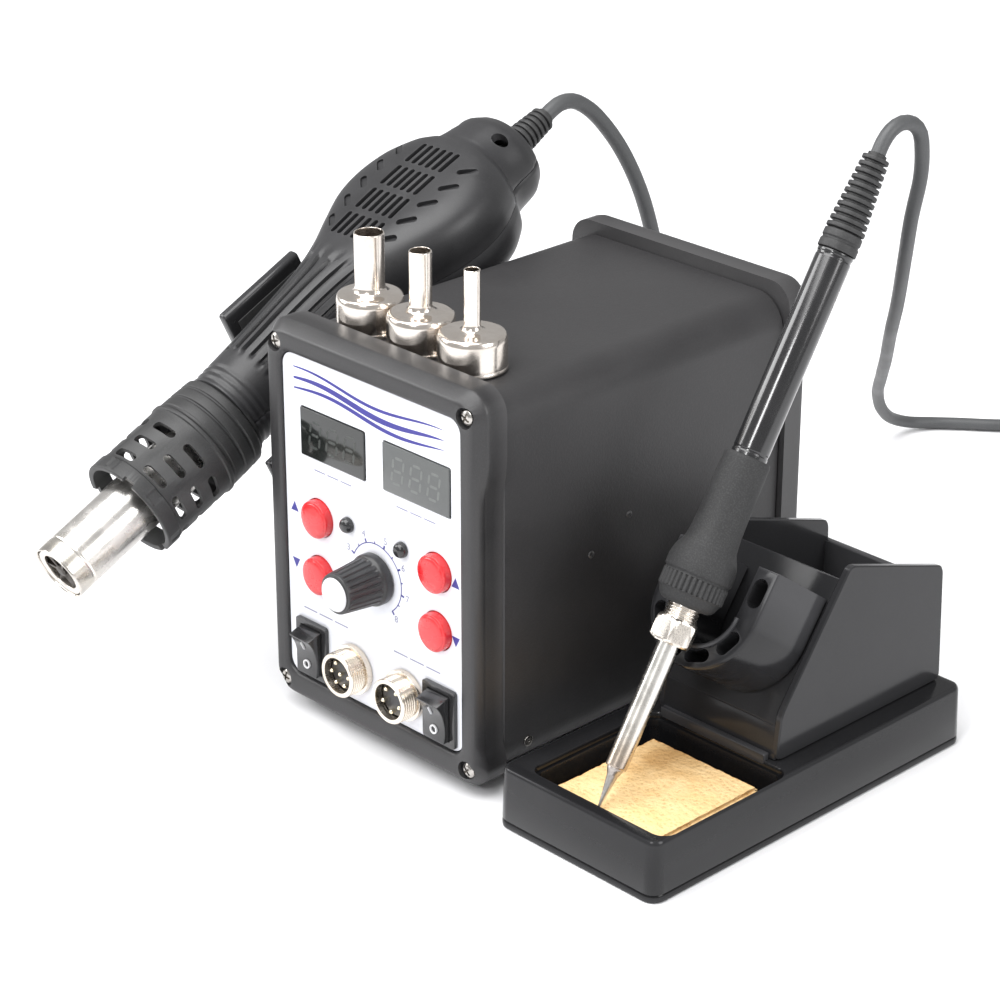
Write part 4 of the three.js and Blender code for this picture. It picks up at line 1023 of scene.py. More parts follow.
def handleHalf(upper):
    # one half of the hollow handle, from the seam up or down, with long ribs on the upper half's neck
    look = gunLook
    ribs, seam, sides = look["ribs"], look["seam"], 90
    sign = 1 if upper else -1
    distances = [82, 82.7] + [83.4 + 0.7 * k for k in range(12)] + [92 + 1.4 * k for k in range(101)]
    distances += [233.4, 234.4, 235.3, 236]
    rings = []
    for y in distances:
        halfWidth, top, bottom, power = stationAt(look["stations"], y)
        shrink = sum(0.6 * max(0, 1 - abs(y - groove)) for groove in look["neckGrooves"])
        shrink += 0.9 * max(0, 1 - (y - 82) / 0.9) ** 2 + 1.4 * max(0, (y - 234.2) / 1.8) ** 2
        shrink += 0.55 * max(0, 1 - abs(y - 216.5) / 0.9)
        fade = min(1, max(0, (y - ribs["from"]) / 3)) * min(1, max(0, (ribs["to"] - y) / 9))
        height = (top - seam if upper else seam - bottom) - shrink
        width = halfWidth - shrink
        inside = look["wall"] if 84.5 < y < 233 else None
        hole = 12 if y < 100 else 4.6
        outer, inner = [], []
        for index in range(sides + 1):
            angle = math.pi * index / sides
            c, s = math.cos(angle), math.sin(angle)
            x = math.copysign(abs(c) ** (2 / power), c)
            z = abs(s) ** (2 / power)
            edge = 0.45 * max(0, 1 - z * height / 0.8)
            if fade and upper:
                nearest = min(abs(180 * index / sides - a) for a in ribs["angles"])
                edge += ribs["depth"] * fade * min(1, max(0, (ribs["half"] - nearest) * 0.7))
            outer.append(((width - edge) * x, y, seam + sign * max(0.12, z * (height - edge))))
            if inside:
                inner.append(((width - inside) * x, y, seam + sign * max(0.12, z * (height - inside))))
            else:
                inner.append((hole * c, y, seam + sign * max(0.12, hole * s)))
        rings.append(outer + inner[::-1])
    return lofted(rings)


def makeHandle():
    look = gunLook
    grille, dimples, seam = look["grille"], look["dimples"], look["seam"]
    bar = slotBar(grille["half"], grille["length"] / 2, 17, 30)
    cuts = [moved(bar, across * grille["across"], grille["start"] + grille["pitch"] * group, 0)
            for group in range(grille["groups"]) for across in (-2.5, -1.5, -0.5, 0.5, 1.5, 2.5)]
    # slanting dimples beside the grille, and two round holes through the rear shoulder
    rearX, rearY = look["rearHoles"]
    for side in (-1, 1):
        for k in range(5):
            x, y = side * (dimples["x"] + 1.2 * min(k, 3)), dimples["start"] + dimples["pitch"] * k
            halfWidth, top, bottom, power = stationAt(look["stations"], y)
            surface = seam + (top - seam) * (1 - (abs(x) / halfWidth) ** power) ** (1 / power)
            dimple = slotBar(1.3, 3.9, surface - 1.3, surface + 6)
            cuts.append(moved(spun(dimple, side * -dimples["slant"], "Z"), x, y, 0))
        hole = upright(turned([(0, 12), (2.7, 12), (2.7, 30), (0, 30)], 32))
        cuts.append(moved(hole, side * rearX, rearY, 0))
    makePiece("gunHandleUpper", handleHalf(True), gunPlastic, body="heat_gun", replaced="gun_handle_upper",
              matrix=gunFrame, holes=cuts, sharp=44)
    well = upright(turned([(0, -19), (2.6, -19), (2.4, -16.2), (0, -16.2)], 24))
    wells = [moved(well, x, y, 0) for x, y in look["screwWells"]]
    makePiece("gunHandleLower", handleHalf(False), gunPlastic, body="heat_gun", replaced="gun_handle_lower",
              matrix=gunFrame, holes=wells, sharp=44)
    post = upright(turned([(0, -16.4), (3, -16.4), (3, 4), (0, 4)], 24))
    makePiece("rotorPost", moved(post, 0, look["rotor"], 0), gunPlastic, body="heat_gun", matrix=gunFrame)
    # a proud ring round the cord at the rear, and a collar on the neck between guard and handle
    cap = turned(rounded([(4.9, 235.6), (9.5, 235.6), (9.5, 237.3), (8.4, 238.4), (4.9, 238.4)], 0.5,
                         closed=True), 48)
    makePiece("gunRearCap", moved(cap, 0, 0, seam), guardPlastic, body="heat_gun", matrix=gunFrame)
    collar = turned(rounded([(13.6, 82.4), (16.4, 82.4), (16.4, 83.9), (13.6, 83.9)], 0.5, closed=True), 64)
    makePiece("neckCollar", collar, guardPlastic, body="heat_gun", matrix=gunFrame)


def makeGuard():
    def ridges(angle, radius, y):
        # six grip ridges round the front ring
        onRing = radius >= 18 and 35.5 < y < 39.9
        return radius - (0.4 if onRing and math.cos(angle * 6 + math.pi) > 0.8 else 0)
    profile = [(17, 34.2), (18.9, 34), (19.2, 34.4), (19.2, 35.6), (19.2, 39.8), (18.7, 40.1), (18.7, 64.8),
               (19.3, 65.1), (19.3, 66.4), (18.5, 67), (18.5, 68), (18.7, 68.3), (18.6, 72), (18.0, 72.3),
               (18.0, 73), (18.6, 73.3), (18.4, 77), (17.9, 77.3), (17.9, 78), (18.4, 78.3), (18.2, 81.2),
               (17.8, 81.7), (13.9, 81.7), (13.9, 70), (17, 66)]
    rows = gunLook["guardRows"]
    bar = spun(slotBar(1.6, 5.0, 12, 24), 90, "Z")
    slots = [spun(moved(bar, 0, rows["start"] + row * rows["pitch"], 0),
                  360 / rows["slots"] * k + rows["twist"] * row)
             for row in range(rows["count"]) for k in range(rows["slots"])]
    slots += [spun(block(-2.2, 2.2, 33, 35.6, 15, 24), 120 * k + 30) for k in range(3)]
    makePiece("gunHeatGuard", turned(rounded(profile, 0.2, 2, closed=True), 216, ridges), guardPlastic,
              body="heat_gun", replaced="gun_heat_guard", matrix=gunFrame, holes=slots,
              sharp=50)


def makeHeater():
    tubeMetal = heated("heatedTube", gunFrame, gunLook["heatColours"], 0, 34, (0.2, 0.33))
    profile = [(9.95, 0.7), (10.2, 0.05), (10.65, 0.1), (10.75, 0.8), (10.75, 6.4), (10.55, 6.8),
               (10.55, 7.2), (10.75, 7.6), (10.75, 96), (11.5, 96), (11.5, 98), (9.95, 98)]
    makePiece("gunHeaterTube", turned(rounded(profile, 0.15, closed=True), 96), tubeMetal, body="heat_gun",
              replaced="gun_heater_tube", matrix=gunFrame, sharp=50)
    rim = turned(rounded([(7.3, 0.9), (9.6, 0.6), (9.6, 4), (7.2, 4)], 0.3, closed=True), 64)
    makePiece("gunOutletRing", rim, tubeMetal, body="heat_gun", replaced="gun_outlet_ring", matrix=gunFrame)
    hub = turned(rounded([(0, 1), (1.7, 1), (2.4, 1.5), (2.4, 4), (0, 4)], 0.3), 32)
    vane = moved(spun(block(2, 7.6, -1.3, 1.3, -0.3, 0.3), 32, "X"), 0, 2.6, 0)
    makePiece("outletVanes", joined(hub, *[spun(vane, 60 * k) for k in range(6)]),
              metal("outletSoot", gunLook["soot"]), body="heat_gun", matrix=gunFrame)
    bore = turned([(0, 8), (1.5, 8), (1.5, 20), (0, 20)], 20)
    bores = [moved(bore, 5.2 * math.cos(math.pi * k / 3), 0,
                   5.2 * math.sin(math.pi * k / 3)) for k in range(6)]

    def lobes(angle, radius, y):
        return radius - 0.7 * max(0, math.cos(angle * 6)) if radius > 8 else radius
    core = turned([(0, 10), (8.6, 10), (8.6, 80), (6, 84), (6, 100), (0, 100)], 72, lobes)
    makePiece("gunHeaterCore", core, coreCeramic, body="heat_gun", replaced="gun_heater_core",
              matrix=gunFrame, holes=bores)


def ribbed(start, length, wide, narrow, ribs, deep):
    # the rings of a strain relief, from wide to narrow
    pitch = length / ribs
    profile = []
    for rib in range(ribs):
        radius = wide + (narrow - wide) * rib / (ribs - 1)
        y = start + rib * pitch
        profile += [(radius, y), (radius, y + pitch * 0.55), (radius - deep, y + pitch * 0.62),
                    (radius - deep, y + pitch * 0.96)]
    return profile


def makeGunRelief():
    profile = [(0, 229), (4, 229), (4, 236.6), *ribbed(238.6, 17.4, 6.2, 4.9, 7, 1.3), (3.6, 256.4),
               (0, 256.4)]
    shape = moved(turned(rounded(profile, 0.3), 48), 0, 0, gunLook["seam"])
    makePiece("gunCordRelief", shape, reliefRubber, body="heat_gun", replaced="gun_cord_relief",
              matrix=gunFrame, sharp=50)


cradleLook = {
    "gloss": {"colour": (0.009, 0.009, 0.01), "second": (0.014, 0.014, 0.0152), "rubbed": (0.08, 0.08, 0.083),
              "grain": 0.6, "patch": 20, "depth": 0.012, "roughness": (0.18, 0.3), "specular": 0.35,
              "coat": 0.1, "fleck": 0.08, "wear": 0.5},
    "start": 110, "end": 148, "inner": 20.6, "wall": 4.6, "bottom": -17, "corner": 13, "rise": 17, "lip": 1.9,
    "toCase": 35.2,
}
cradlePlastic = moulded("cradlePlastic", cradleLook["gloss"])


def makeCradle():
    look = cradleLook
    start, end, inner, wall, low = (look[key] for key in ("start", "end", "inner", "wall", "bottom"))
    outer, corner = inner + wall, look["corner"]

    def channel(inset):
        # the U of the cradle, open at the top
        o, i, r, lip = outer - inset, inner + inset, look["rise"] - inset, look["lip"] - inset
        base = low - wall + inset
        outside = [(o, r, lip), (o, base, corner + wall), (-o, base, corner + wall), (-o, r, lip)]
        inside = [(-i, r, lip), (-i, low - inset, corner), (i, low - inset, corner), (i, r, lip)]
        return rounded(outside + inside, steps=10, closed=True)
    steps = ((start, 0.9), (start + 0.25, 0.35), (start + 0.9, 0), (end - 0.9, 0), (end - 0.25, 0.35),
             (end, 0.9))
    rings = [[(x, y, z) for x, z in channel(inset)] for y, inset in steps]
    makePiece("gunCradle", lofted(rings), cradlePlastic, replaced="gun_cradle", matrix=gunFrame,
              sharp=44)
    web = block(outer - 1, look["toCase"], start + 5, end - 5, -12, 8)
    arm = block(outer + 3.4, outer + 6, start - 36, start, -11, -2)
    root = block(outer - 1, outer + 6, start, end - 6, -11, -2)
    makePiece("cradleBracket", joined(web, arm, root), cradlePlastic, matrix=gunFrame, soften=0.8)
    pads = [block(x, x + 0.48, start + 4, end - 4, -2, 12) for x in (-inner + 0.02, inner - 0.5)]
    makePiece("cradlePads", joined(*pads), reliefRubber, matrix=gunFrame, soften=0.2)


makeHandle()
makeGuard()
makeHeater()
makeGunRelief()
makeCradle()
print("gun and cradle made")

# Soldering iron
ironLook = {
    "grip": {"colour": (0.013, 0.013, 0.0135), "second": (0.02, 0.02, 0.021), "rubbed": (0.09, 0.09, 0.09),
             "grain": 0.5, "patch": 12, "depth": 0.05, "roughness": (0.62, 0.78), "wear": 0.4},
    "tube": {"colour": (0.008, 0.008, 0.009), "second": (0.013, 0.013, 0.014), "rubbed": (0.07, 0.07, 0.072),
             "grain": 0.6, "patch": 16, "depth": 0.005, "roughness": (0.14, 0.24), "coat": 0.5, "fleck": 0.08,
             "wear": 0.3},
    "nut": {"colour": (0.8, 0.75, 0.69), "second": (0.68, 0.63, 0.57), "grain": 0.3, "patch": 5,
            "depth": 0.004, "roughness": (0.18, 0.34)},
    "tipColours": [(0.0, (0.5, 0.49, 0.47)), (0.12, (0.8, 0.79, 0.77)), (0.4, (0.62, 0.6, 0.58)),
                   (0.72, (0.5, 0.46, 0.43)), (1.0, (0.66, 0.6, 0.56))],
    "barrelColours": [(0.0, (0.5, 0.42, 0.36)), (0.12, (0.62, 0.52, 0.42)), (0.4, (0.78, 0.74, 0.68)),
                      (1.0, (0.82, 0.8, 0.76))],
    # profiles are (radius, distance from the point of the tip, corner radius)
    "tip": [(0, 0), (0.3, 0.1), (0.5, 0.8), (0.85, 4), (1.35, 8), (1.85, 11.4), (2.4, 12.6), (2.75, 13.4),
            (2.75, 60), (2.1, 60), (2.1, 18), (0, 16)],
    "barrel": [(3.1, 14.2), (3.4, 14), (3.6, 14.5), (3.6, 60.2), (4.5, 60.6), (4.5, 62), (3.1, 62)],
    "gripFront": [(5.9, 69.8), (7.6, 69.8, 0.6), (9.3, 71.0, 0.8), (10.2, 73.2, 0.8), (10.5, 73.8, 0.2),
                  (10.9, 74.1, 0.2)],
    "gripRear": [(10.7, 79.7, 0.2), (10.8, 80.1, 0.2), (11.3, 80.6, 0.3), (11.4, 83.5, 1), (10.8, 87.2, 2),
                 (8.9, 90.6, 2), (8.3, 95, 2), (8.0, 104, 2), (7.8, 120.6, 0.5), (7.3, 121.5, 0.4),
                 (6.35, 121.5), (6.35, 100), (5.9, 100)],
    "handle": [(5.4, 100.4), (6.05, 100.4), (6.05, 122.6), (5.9, 122.9), (5.9, 123.5), (6.05, 123.8),
               (6.05, 189.6), (5.85, 190), (5.85, 190.8), (6.05, 191.2), (6.05, 192), (5.4, 192)],
    "reliefFoot": [(0, 184), (5.1, 184), (5.1, 192.3), (6.5, 192.4), (6.5, 195), (6.1, 195.3), (6.1, 196),
                   (6.5, 196.3), (6.4, 198.6), (5.2, 199)],
}
gripRubber = moulded("gripRubber", ironLook["grip"])
tubePlastic = moulded("tubePlastic", ironLook["tube"])


def makeIron():
    look = ironLook

    def put(name, shape, material, node, sharp=50, holes=None):
        makePiece(name, shape, material, body="iron", replaced=node, matrix=ironFrame, sharp=sharp,
                  holes=holes)
    tipMetal = heated("tipPlating", ironFrame, look["tipColours"], 0, 16, (0.22, 0.45))
    put("ironTip", turned(rounded(look["tip"], 0.35), 48), tipMetal, "iron_tip")
    barrelMetal = heated("ironBarrelSteel", ironFrame, look["barrelColours"], 14, 46, (0.2, 0.34))
    barrel = turned(rounded(look["barrel"], 0.15, closed=True), 56)
    put("ironBarrel", barrel, barrelMetal, "iron_barrel")
    # hexagon nut with chamfered corners, and the threaded neck behind it
    nutMetal = metal("ironNutBrass", look["nut"])
    rows = []
    for y, chamfer in ((57, 0.82), (57.5, 0.9), (58.1, 0), (64.2, 0), (64.9, 0.9), (65.4, 0.82)):
        largest = 7.5 * chamfer + 0.15 if chamfer else 7.5
        angles = [math.radians(7.5 * k) for k in range(48)]
        flats = [6.5 / math.cos((a % math.radians(60)) - math.radians(30)) for a in angles]
        radii = [min(flat, largest) for flat in flats]
        rows.append([(r * math.cos(a), y, r * math.sin(a)) for r, a in zip(radii, angles)])
    bore = turned([(0, 56), (3.9, 56), (3.9, 60.1), (4.8, 60.1), (4.8, 73), (0, 73)], 40)
    put("ironNut", lofted(rows), nutMetal, "iron_nut", 30, [bore])
    neck = [(0, 65), (5.9, 65), (5.9, 65.7), (5.4, 66)]
    for k in range(5):
        y = k * 1.1
        neck += [(5.6, 66.2 + y), (5.6, 66.6 + y), (5.15, 66.9 + y), (5.15, 67.1 + y)]
    neck += [(5.6, 71.8), (5.4, 72), (0, 72)]
    bore = turned([(0, 62), (4.8, 62), (4.8, 73), (0, 73)], 40)
    put("ironNeck", turned(rounded(neck, 0.1), 56), nutMetal, None, holes=[bore])

    def flutes(angle, radius, y):
        inBand = radius > 10.6 and 74.2 < y < 79.4
        return radius - 0.6 * max(0, math.cos(angle * 36)) ** 0.8 if inBand else radius
    grip = look["gripFront"] + [(11, 74.8 + k * 0.9) for k in range(6)] + look["gripRear"]
    put("ironGrip", turned(rounded(grip, 0.2, 4, closed=True), 216, flutes), gripRubber, "iron_grip")
    put("ironHandleTube", turned(rounded(look["handle"], 0.12, closed=True), 64), tubePlastic,
        "iron_handle_tube")
    relief = look["reliefFoot"] + ribbed(199.4, 26.4, 6.5, 4.5, 11, 1.4) + [(3.1, 226), (0, 226)]
    put("ironCordRelief", turned(rounded(relief, 0.25), 48), reliefRubber, "iron_cord_relief")


makeIron()
print("iron made")

# Stand: tray base, sponge, upright and fork
standLook = {
    "gloss": {"colour": (0.0045, 0.0045, 0.005), "second": (0.0075, 0.0075, 0.0083),
              "rubbed": (0.07, 0.07, 0.074),
              "grain": 0.5, "patch": 26, "depth": 0.008, "roughness": (0.11, 0.2), "specular": 0.26,
              "fleck": 0.05, "wear": 0.6},
    # base and tray are half width, start, end and corner radius
    "base": (35.4, -3.3, 150.7, 5), "middle": 99.5, "height": 22, "draft": 0.9,
    "tray": (28.9, 3.4, 60.2, 4), "trayMiddle": 103.5, "floor": 9,
    "sponge": (79.8, 127.2, 5.8, 54.4, 9.3, 17),
    "upright": {"left": 73, "right": 126, "wall": 2.8, "front": 63.3, "rear": 147.2, "seat": 22.3,
                "corners": [(145.5, 65.5), (96.5, 81.6), (65, 38.2)], "slopeRibs": (-8, 10, 24)},
    "slope": 54.5, "forkPlace": (100.5, 45.1, 75.2),
    "fork": {"half": 21.5, "seat": 4, "arms": 22, "notch": 12.6, "front": -9, "back": -39.6, "rim": 13.4},
    # fork slots are (x, y, turn, length, width), the same on both sides
    "forkSlots": [(17, 13.6, 0, 10, 5.6), (14.6, -4.6, -30, 9.4, 4.8), (5.4, -12.2, -70, 9.4, 4.4)],
}
standPlastic = moulded("standPlastic", standLook["gloss"])


def flatRing(size, middle, z, inset=0.0):
    halfWidth, bottom, top, radius = size
    outline = roundedOutline(halfWidth - inset, bottom + inset, top - inset, max(0.4, radius - inset), middle)
    return [(x, y, z) for x, y in outline]


def makeStand():
    look = standLook
    base, tray, height, draft, floor = (look[key] for key in ("base", "tray", "height", "draft", "floor"))
    steps = ((0, 0.8), (0.5, 0.15), (1.2, 0), (2.4, 0.02), (2.9, 0.35), (3.4, 0.06),
             (height - 1.6, draft * 0.7),
             (height - 0.7, draft), (height - 0.2, draft + 0.4), (height, draft + 1.1))
    rings = [flatRing(base, look["middle"], z, inset) for z, inset in steps]
    steps = ((floor, 1.6), (floor + 0.5, 0.8), (floor + 1.6, 0.45), (height - 2.2, 0.2),
             (height - 2.1, -0.75), (height - 0.6, -0.85), (height + 1, -2.0))
    hollow = lofted([flatRing(tray, look["trayMiddle"], z, inset) for z, inset in steps])
    under = block(67.1, 131.9, 66, 147.7, -1, 19)
    makePiece("standBase", lofted(rings), standPlastic, replaced="stand_base",
              holes=[hollow, under], sharp=34)
    # two low ribs carry the sponge
    ribs = [block(x - 0.5, x + 0.5, 8, 52, floor - 0.3, floor + 0.25) for x in (92, 115)]
    makePiece("trayRibs", joined(*ribs), standPlastic)
    # a ledge and two tabs lock the upright to the base
    ledge = block(76.5, 122.5, 60.9, 63.6, 20.5, 24.4)
    tabs = [block(x - 3.2, x + 3.2, 146.2, 148.6, 20.5, 30) for x in (84, 115)]
    makePiece("standLedge", joined(ledge, *tabs), standPlastic, soften=0.5)


def makeUpright():
    look = standLook["upright"]
    left, right, wall, front, rear, seat = (look[key] for key in ("left", "right", "wall", "front", "rear",
                                                                  "seat"))
    forkY, forkZ = standLook["forkPlace"][1:]
    slope = math.radians(standLook["slope"])
    c, s = math.cos(slope), math.sin(slope)
    back = 0.3 - standLook["fork"]["back"]

    def onSlope(distance, down):
        # a point at a distance up the sloping plate behind the fork, and down into it
        return (forkY + distance * c + (back + down) * s, forkZ + distance * s - (back + down) * c)

    def wide(profile, x0, x1):
        return lofted([[(x, y, z) for y, z in profile] for x in (x0, x1)])
    side = rounded([(y, z, 2.6) for y, z in [(front, seat), (rear, seat), *look["corners"]]], steps=5,
                   closed=True)
    middle = Vector((106, 50))

    def drawnIn(inset):
        # the side's outline, moved a little towards its middle
        points = [Vector(point) for point in side]
        return [point + (middle - point).normalized() * inset for point in points]
    walls = []
    for x in (left, right - wall):
        steps = ((x, 0.5), (x + 0.5, 0), (x + wall - 0.5, 0), (x + wall, 0.5))
        walls.append(lofted([[(u, y, z) for y, z in drawnIn(inset)] for u, inset in steps]))
    makePiece("uprightWalls", joined(*walls), standPlastic, replaced="stand_upright",
              sharp=34)
    plates = {
        "slopePlate": wide([onSlope(-22, 0), onSlope(-22, 3), onSlope(30, 3), onSlope(30, 0)], left + 1,
                           right - 1),
        "frontWall": wide([(front, seat), (front + 3, seat), onSlope(-19, 3), onSlope(-22, 0)], left + 1,
                          right - 1),
        "rearWall": block(left + 1, right - 1, rear - 3.6, rear - 0.8, seat, 58.6),
    }
    for name, shape in plates.items():
        makePiece(name, shape, standPlastic, soften=0.45)
    ribs = [wide([onSlope(d, 3), onSlope(d, 8), onSlope(d + 2, 8), onSlope(d + 2, 3)], left + 2, right - 2)
            for d in look["slopeRibs"]]
    makePiece("slopeRibs", joined(*ribs), standPlastic, soften=0.3)


def ribbon(rows):
    # an open run of one section along rows of points, with closed ends
    count, deep = len(rows[0]), len(rows)
    points = [row[k] for k in range(count) for row in rows]
    faces = []
    for k in range(count - 1):
        for i in range(deep):
            a, b = k * deep + i, k * deep + (i + 1) % deep
            faces.append((a, b, b + deep, a + deep))
    faces.append(tuple(range(deep)))
    faces.append(tuple(reversed(range((count - 1) * deep, count * deep))))
    return points, faces


def makeFork():
    look = standLook["fork"]
    half, seat, arms, notch, front, back = (look[key] for key in ("half", "seat", "arms", "notch", "front",
                                                                  "back"))
    place = Matrix.Translation(standLook["forkPlace"])
    matrix = caseFrame @ place @ Matrix.Rotation(math.radians(standLook["slope"]), 4, "X")

    def outline(inset):
        # a U with a round seat for the grip
        o, n = half - inset, notch + inset
        points = [(o, arms - inset)]
        points += [(o * math.cos(a), seat + o * math.sin(a)) for a in [-math.pi * k / 32 for k in range(33)]]
        points += [(-o, arms - inset), (-n, arms - inset)]
        points += [(-n * math.cos(a), seat - n * math.sin(a)) for a in [math.pi * k / 24 for k in range(25)]]
        return points + [(n, arms - inset)]
    steps = ((back, 0.6), (back + 0.7, 0), (front - 1.5, 0), (front - 0.8, 0.12), (front - 0.25, 0.5),
             (front, 1.2))
    rings = [[(x, y, z) for x, y in outline(inset)] for z, inset in steps]
    cuts = []
    for x, y, turn, length, width in standLook["forkSlots"]:
        points, faces = moved(spun(slotBar(width / 2, length / 2, back - 2, front + 2), turn, "Z"), x, y, 0)
        cuts.append((points, faces))
        cuts.append(([(-p[0], p[1], p[2]) for p in points], [tuple(reversed(face)) for face in faces]))
    # nothing of the fork goes below the tray's edge
    cuts.append(turnedBy(block(60, 140, -20, 61.2, -20, 10.4), matrix.inverted() @ caseFrame))
    makePiece("ironFork", lofted(rings), standPlastic, replaced="iron_receptacle", matrix=matrix,
              holes=cuts, sharp=34)
    r = look["rim"]
    section = ((r, front - 0.4), (r, front + 0.7), (r + 0.7, front + 1.1), (r + 1.4, front + 0.7),
               (r + 1.4, front - 0.4))
    angles = [-math.pi * k / 32 for k in range(33)]
    rows = [[(radius * math.cos(a), seat + radius * math.sin(a), z) for a in angles] for radius, z in section]
    makePiece("forkRim", ribbon(rows), standPlastic, matrix=matrix, sharp=40)


spongeLook = {"colour": (0.78, 0.52, 0.24), "second": (0.86, 0.62, 0.33), "pore": (0.5, 0.28, 0.09),
              "scorch": (0.45, 0.23, 0.07), "smudge": (91, 46, 17), "pores": 1.5, "edge": 1.1, "cell": 0.95}


def makeSponge():
    # pressed cellulose with open pores, and a painted shadow of the fork and the grip on its top
    x0, x1, y0, y1, z0, z1 = standLook["sponge"]
    look = spongeLook
    n = Nodes("cellulose")
    pores = n.cells(1.7)
    small = n.cells(0.7)
    clouds = n.noise(9, 5)
    colour = n.mix(n.spread(clouds, 0.0, 1.0), look["colour"], look["second"])
    # painted shade in the pores: the middles of the cells are mixed towards a darker brown
    colour = n.mix(n.spread(pores, 0.8, 0.0, 0.0, 0.32), colour, look["pore"])
    colour = n.mix(n.spread(small, 0.4, 0.0, 0.0, 0.3), colour, look["pore"])
    # painted shadow: a ragged darker patch on the top, round a point under the fork and the grip
    middle = caseFrame @ Vector(look["smudge"])
    away = n.add("ShaderNodeVectorMath", {0: n.place, 1: tuple(middle)},
                 operation="DISTANCE").outputs["Value"]
    ragged = n.add("ShaderNodeMath", {0: clouds, 1: 0.016, 2: away}, operation="MULTIPLY_ADD").outputs[0]
    colour = n.mix(n.spread(ragged, 0.7, 0.0, 0.012, 0.026), colour, look["scorch"])
    n.link(colour, n.shader.inputs["Base Color"])
    n.link(n.spread(clouds, 0.85, 0.98), n.shader.inputs["Roughness"])
    n.shader.inputs["Specular IOR Level"].default_value = 0.2
    n.link(n.bump(small, 0.15, n.bump(pores, 0.5)), n.shader.inputs["Normal"])
    mesh = bmesh.new()
    size = Vector((x1 - x0, y1 - y0, z1 - z0))
    bmesh.ops.create_cube(mesh, size=1.0)
    bmesh.ops.scale(mesh, vec=size, verts=mesh.verts)
    bmesh.ops.translate(mesh, vec=((x0 + x1) / 2, (y0 + y1) / 2, (z0 + z1) / 2), verts=mesh.verts)
    bmesh.ops.bevel(mesh, geom=mesh.edges[:], offset=look["edge"], segments=2, affect="EDGES")
    bmesh.ops.triangulate(mesh, faces=mesh.faces)
    for _ in range(5):
        long = [edge for edge in mesh.edges if edge.calc_length() > look["cell"]]
        if not long:
            break
        bmesh.ops.subdivide_edges(mesh, edges=long, cuts=1)
        bmesh.ops.triangulate(mesh, faces=mesh.faces)
    mesh.normal_update()
    for v in mesh.verts:
        deep = max(0, noise.cell(v.co / look["pores"]) - 0.35)
        soft = noise.noise(v.co * 0.13) * 0.45 - 0.25
        v.co += v.normal * (soft * 0.5 - deep * 0.42 - 0.1)
    return makePiece("spongeFoam", taken(mesh), n.material, replaced="sponge",
                     sharp=60)


makeStand()
makeUpright()
makeFork()
makeSponge()
print("stand made")

# Rear of the case and what is inside
rearLook = {
    "zinc": {"colour": (0.2, 0.2, 0.21), "second": (0.15, 0.15, 0.16), "rubbed": (0.34, 0.34, 0.35),
             "grain": 0.4, "patch": 30, "depth": 0.02, "roughness": (0.45, 0.6), "wear": 0.4},
    "blade": {"colour": (0.8, 0.74, 0.6), "second": (0.68, 0.62, 0.48), "grain": 0.3, "patch": 3,
              "depth": 0.002, "roughness": (0.16, 0.3)},
    "iron": {"colour": (0.22, 0.2, 0.19), "second": (0.15, 0.135, 0.125), "grain": 0.7,
             "stretch": (0.05, 1, 0.05), "patch": 20, "depth": 0.03, "roughness": (0.4, 0.6)},
    "copper": {"colour": (0.72, 0.34, 0.16), "second": (0.58, 0.26, 0.12), "grain": 0.7,
               "stretch": (0.05, 0.05, 1), "patch": 12, "depth": 0.06, "roughness": (0.25, 0.4)},
    "board": {"colour": (0.02, 0.12, 0.05), "second": (0.03, 0.16, 0.07), "rubbed": (0.2, 0.3, 0.18),
              "grain": 1.2, "patch": 10, "depth": 0.03, "roughness": (0.35, 0.5), "fleck": 0.3},
    "rotor": {"colour": (0.05, 0.05, 0.055), "second": (0.07, 0.07, 0.075), "rubbed": (0.14, 0.14, 0.14),
              "grain": 0.4, "patch": 10, "depth": 0.01, "roughness": (0.4, 0.55)},
    "inlet": (16, 36), "vents": {"rows": 6, "from": 88, "pitch": 7, "halfWidth": 24},
}
zincPaint = moulded("rearPaint", rearLook["zinc"])


def makeRear():
    x, z = rearLook["inlet"]
    vents = rearLook["vents"]
    heights = [vents["from"] + vents["pitch"] * k for k in range(vents["rows"])]
    holes = [roundedOutline(13.6, z - 10.1, z + 10.1, 0.6, x, 3)]
    holes += [roundedOutline(vents["halfWidth"], v - 1.5, v + 1.5, 1.45, 0, 4) for v in heights]
    makePiece("rearPanel", plate(roundedOutline(44, 13.3, 135.7, 5.7), holes, 151, 153), zincPaint,
              replaced="rear_panel", soften=0.2)
    well = roundedOutline(11.8, z - 8, z + 8, 2.2, x, 4)
    flange = plate(roundedOutline(16.3, z - 12.3, z + 12.3, 2.4, x, 6), [well], 153.35, 155.3)
    tub = plate(roundedOutline(13.3, z - 9.8, z + 9.8, 0.5, x, 3), [well], 138, 153.3)
    bottom = block(x - 13.3, x + 13.3, 135, 138, z - 9.8, z + 9.8)
    makePiece("mainsInlet", joined(flange, tub, bottom), paint["black"], replaced="mains_inlet",
              soften=0.4)
    blades = [block(x + dx - 1, x + dx + 1, 138, 151, z + dz - 2.2, z + dz + 2.2)
              for dx, dz in ((-7, 0), (0, 3), (7, 0))]
    makePiece("inletBlades", joined(*blades), metal("bladeMetal", rearLook["blade"]), soften=0.35)


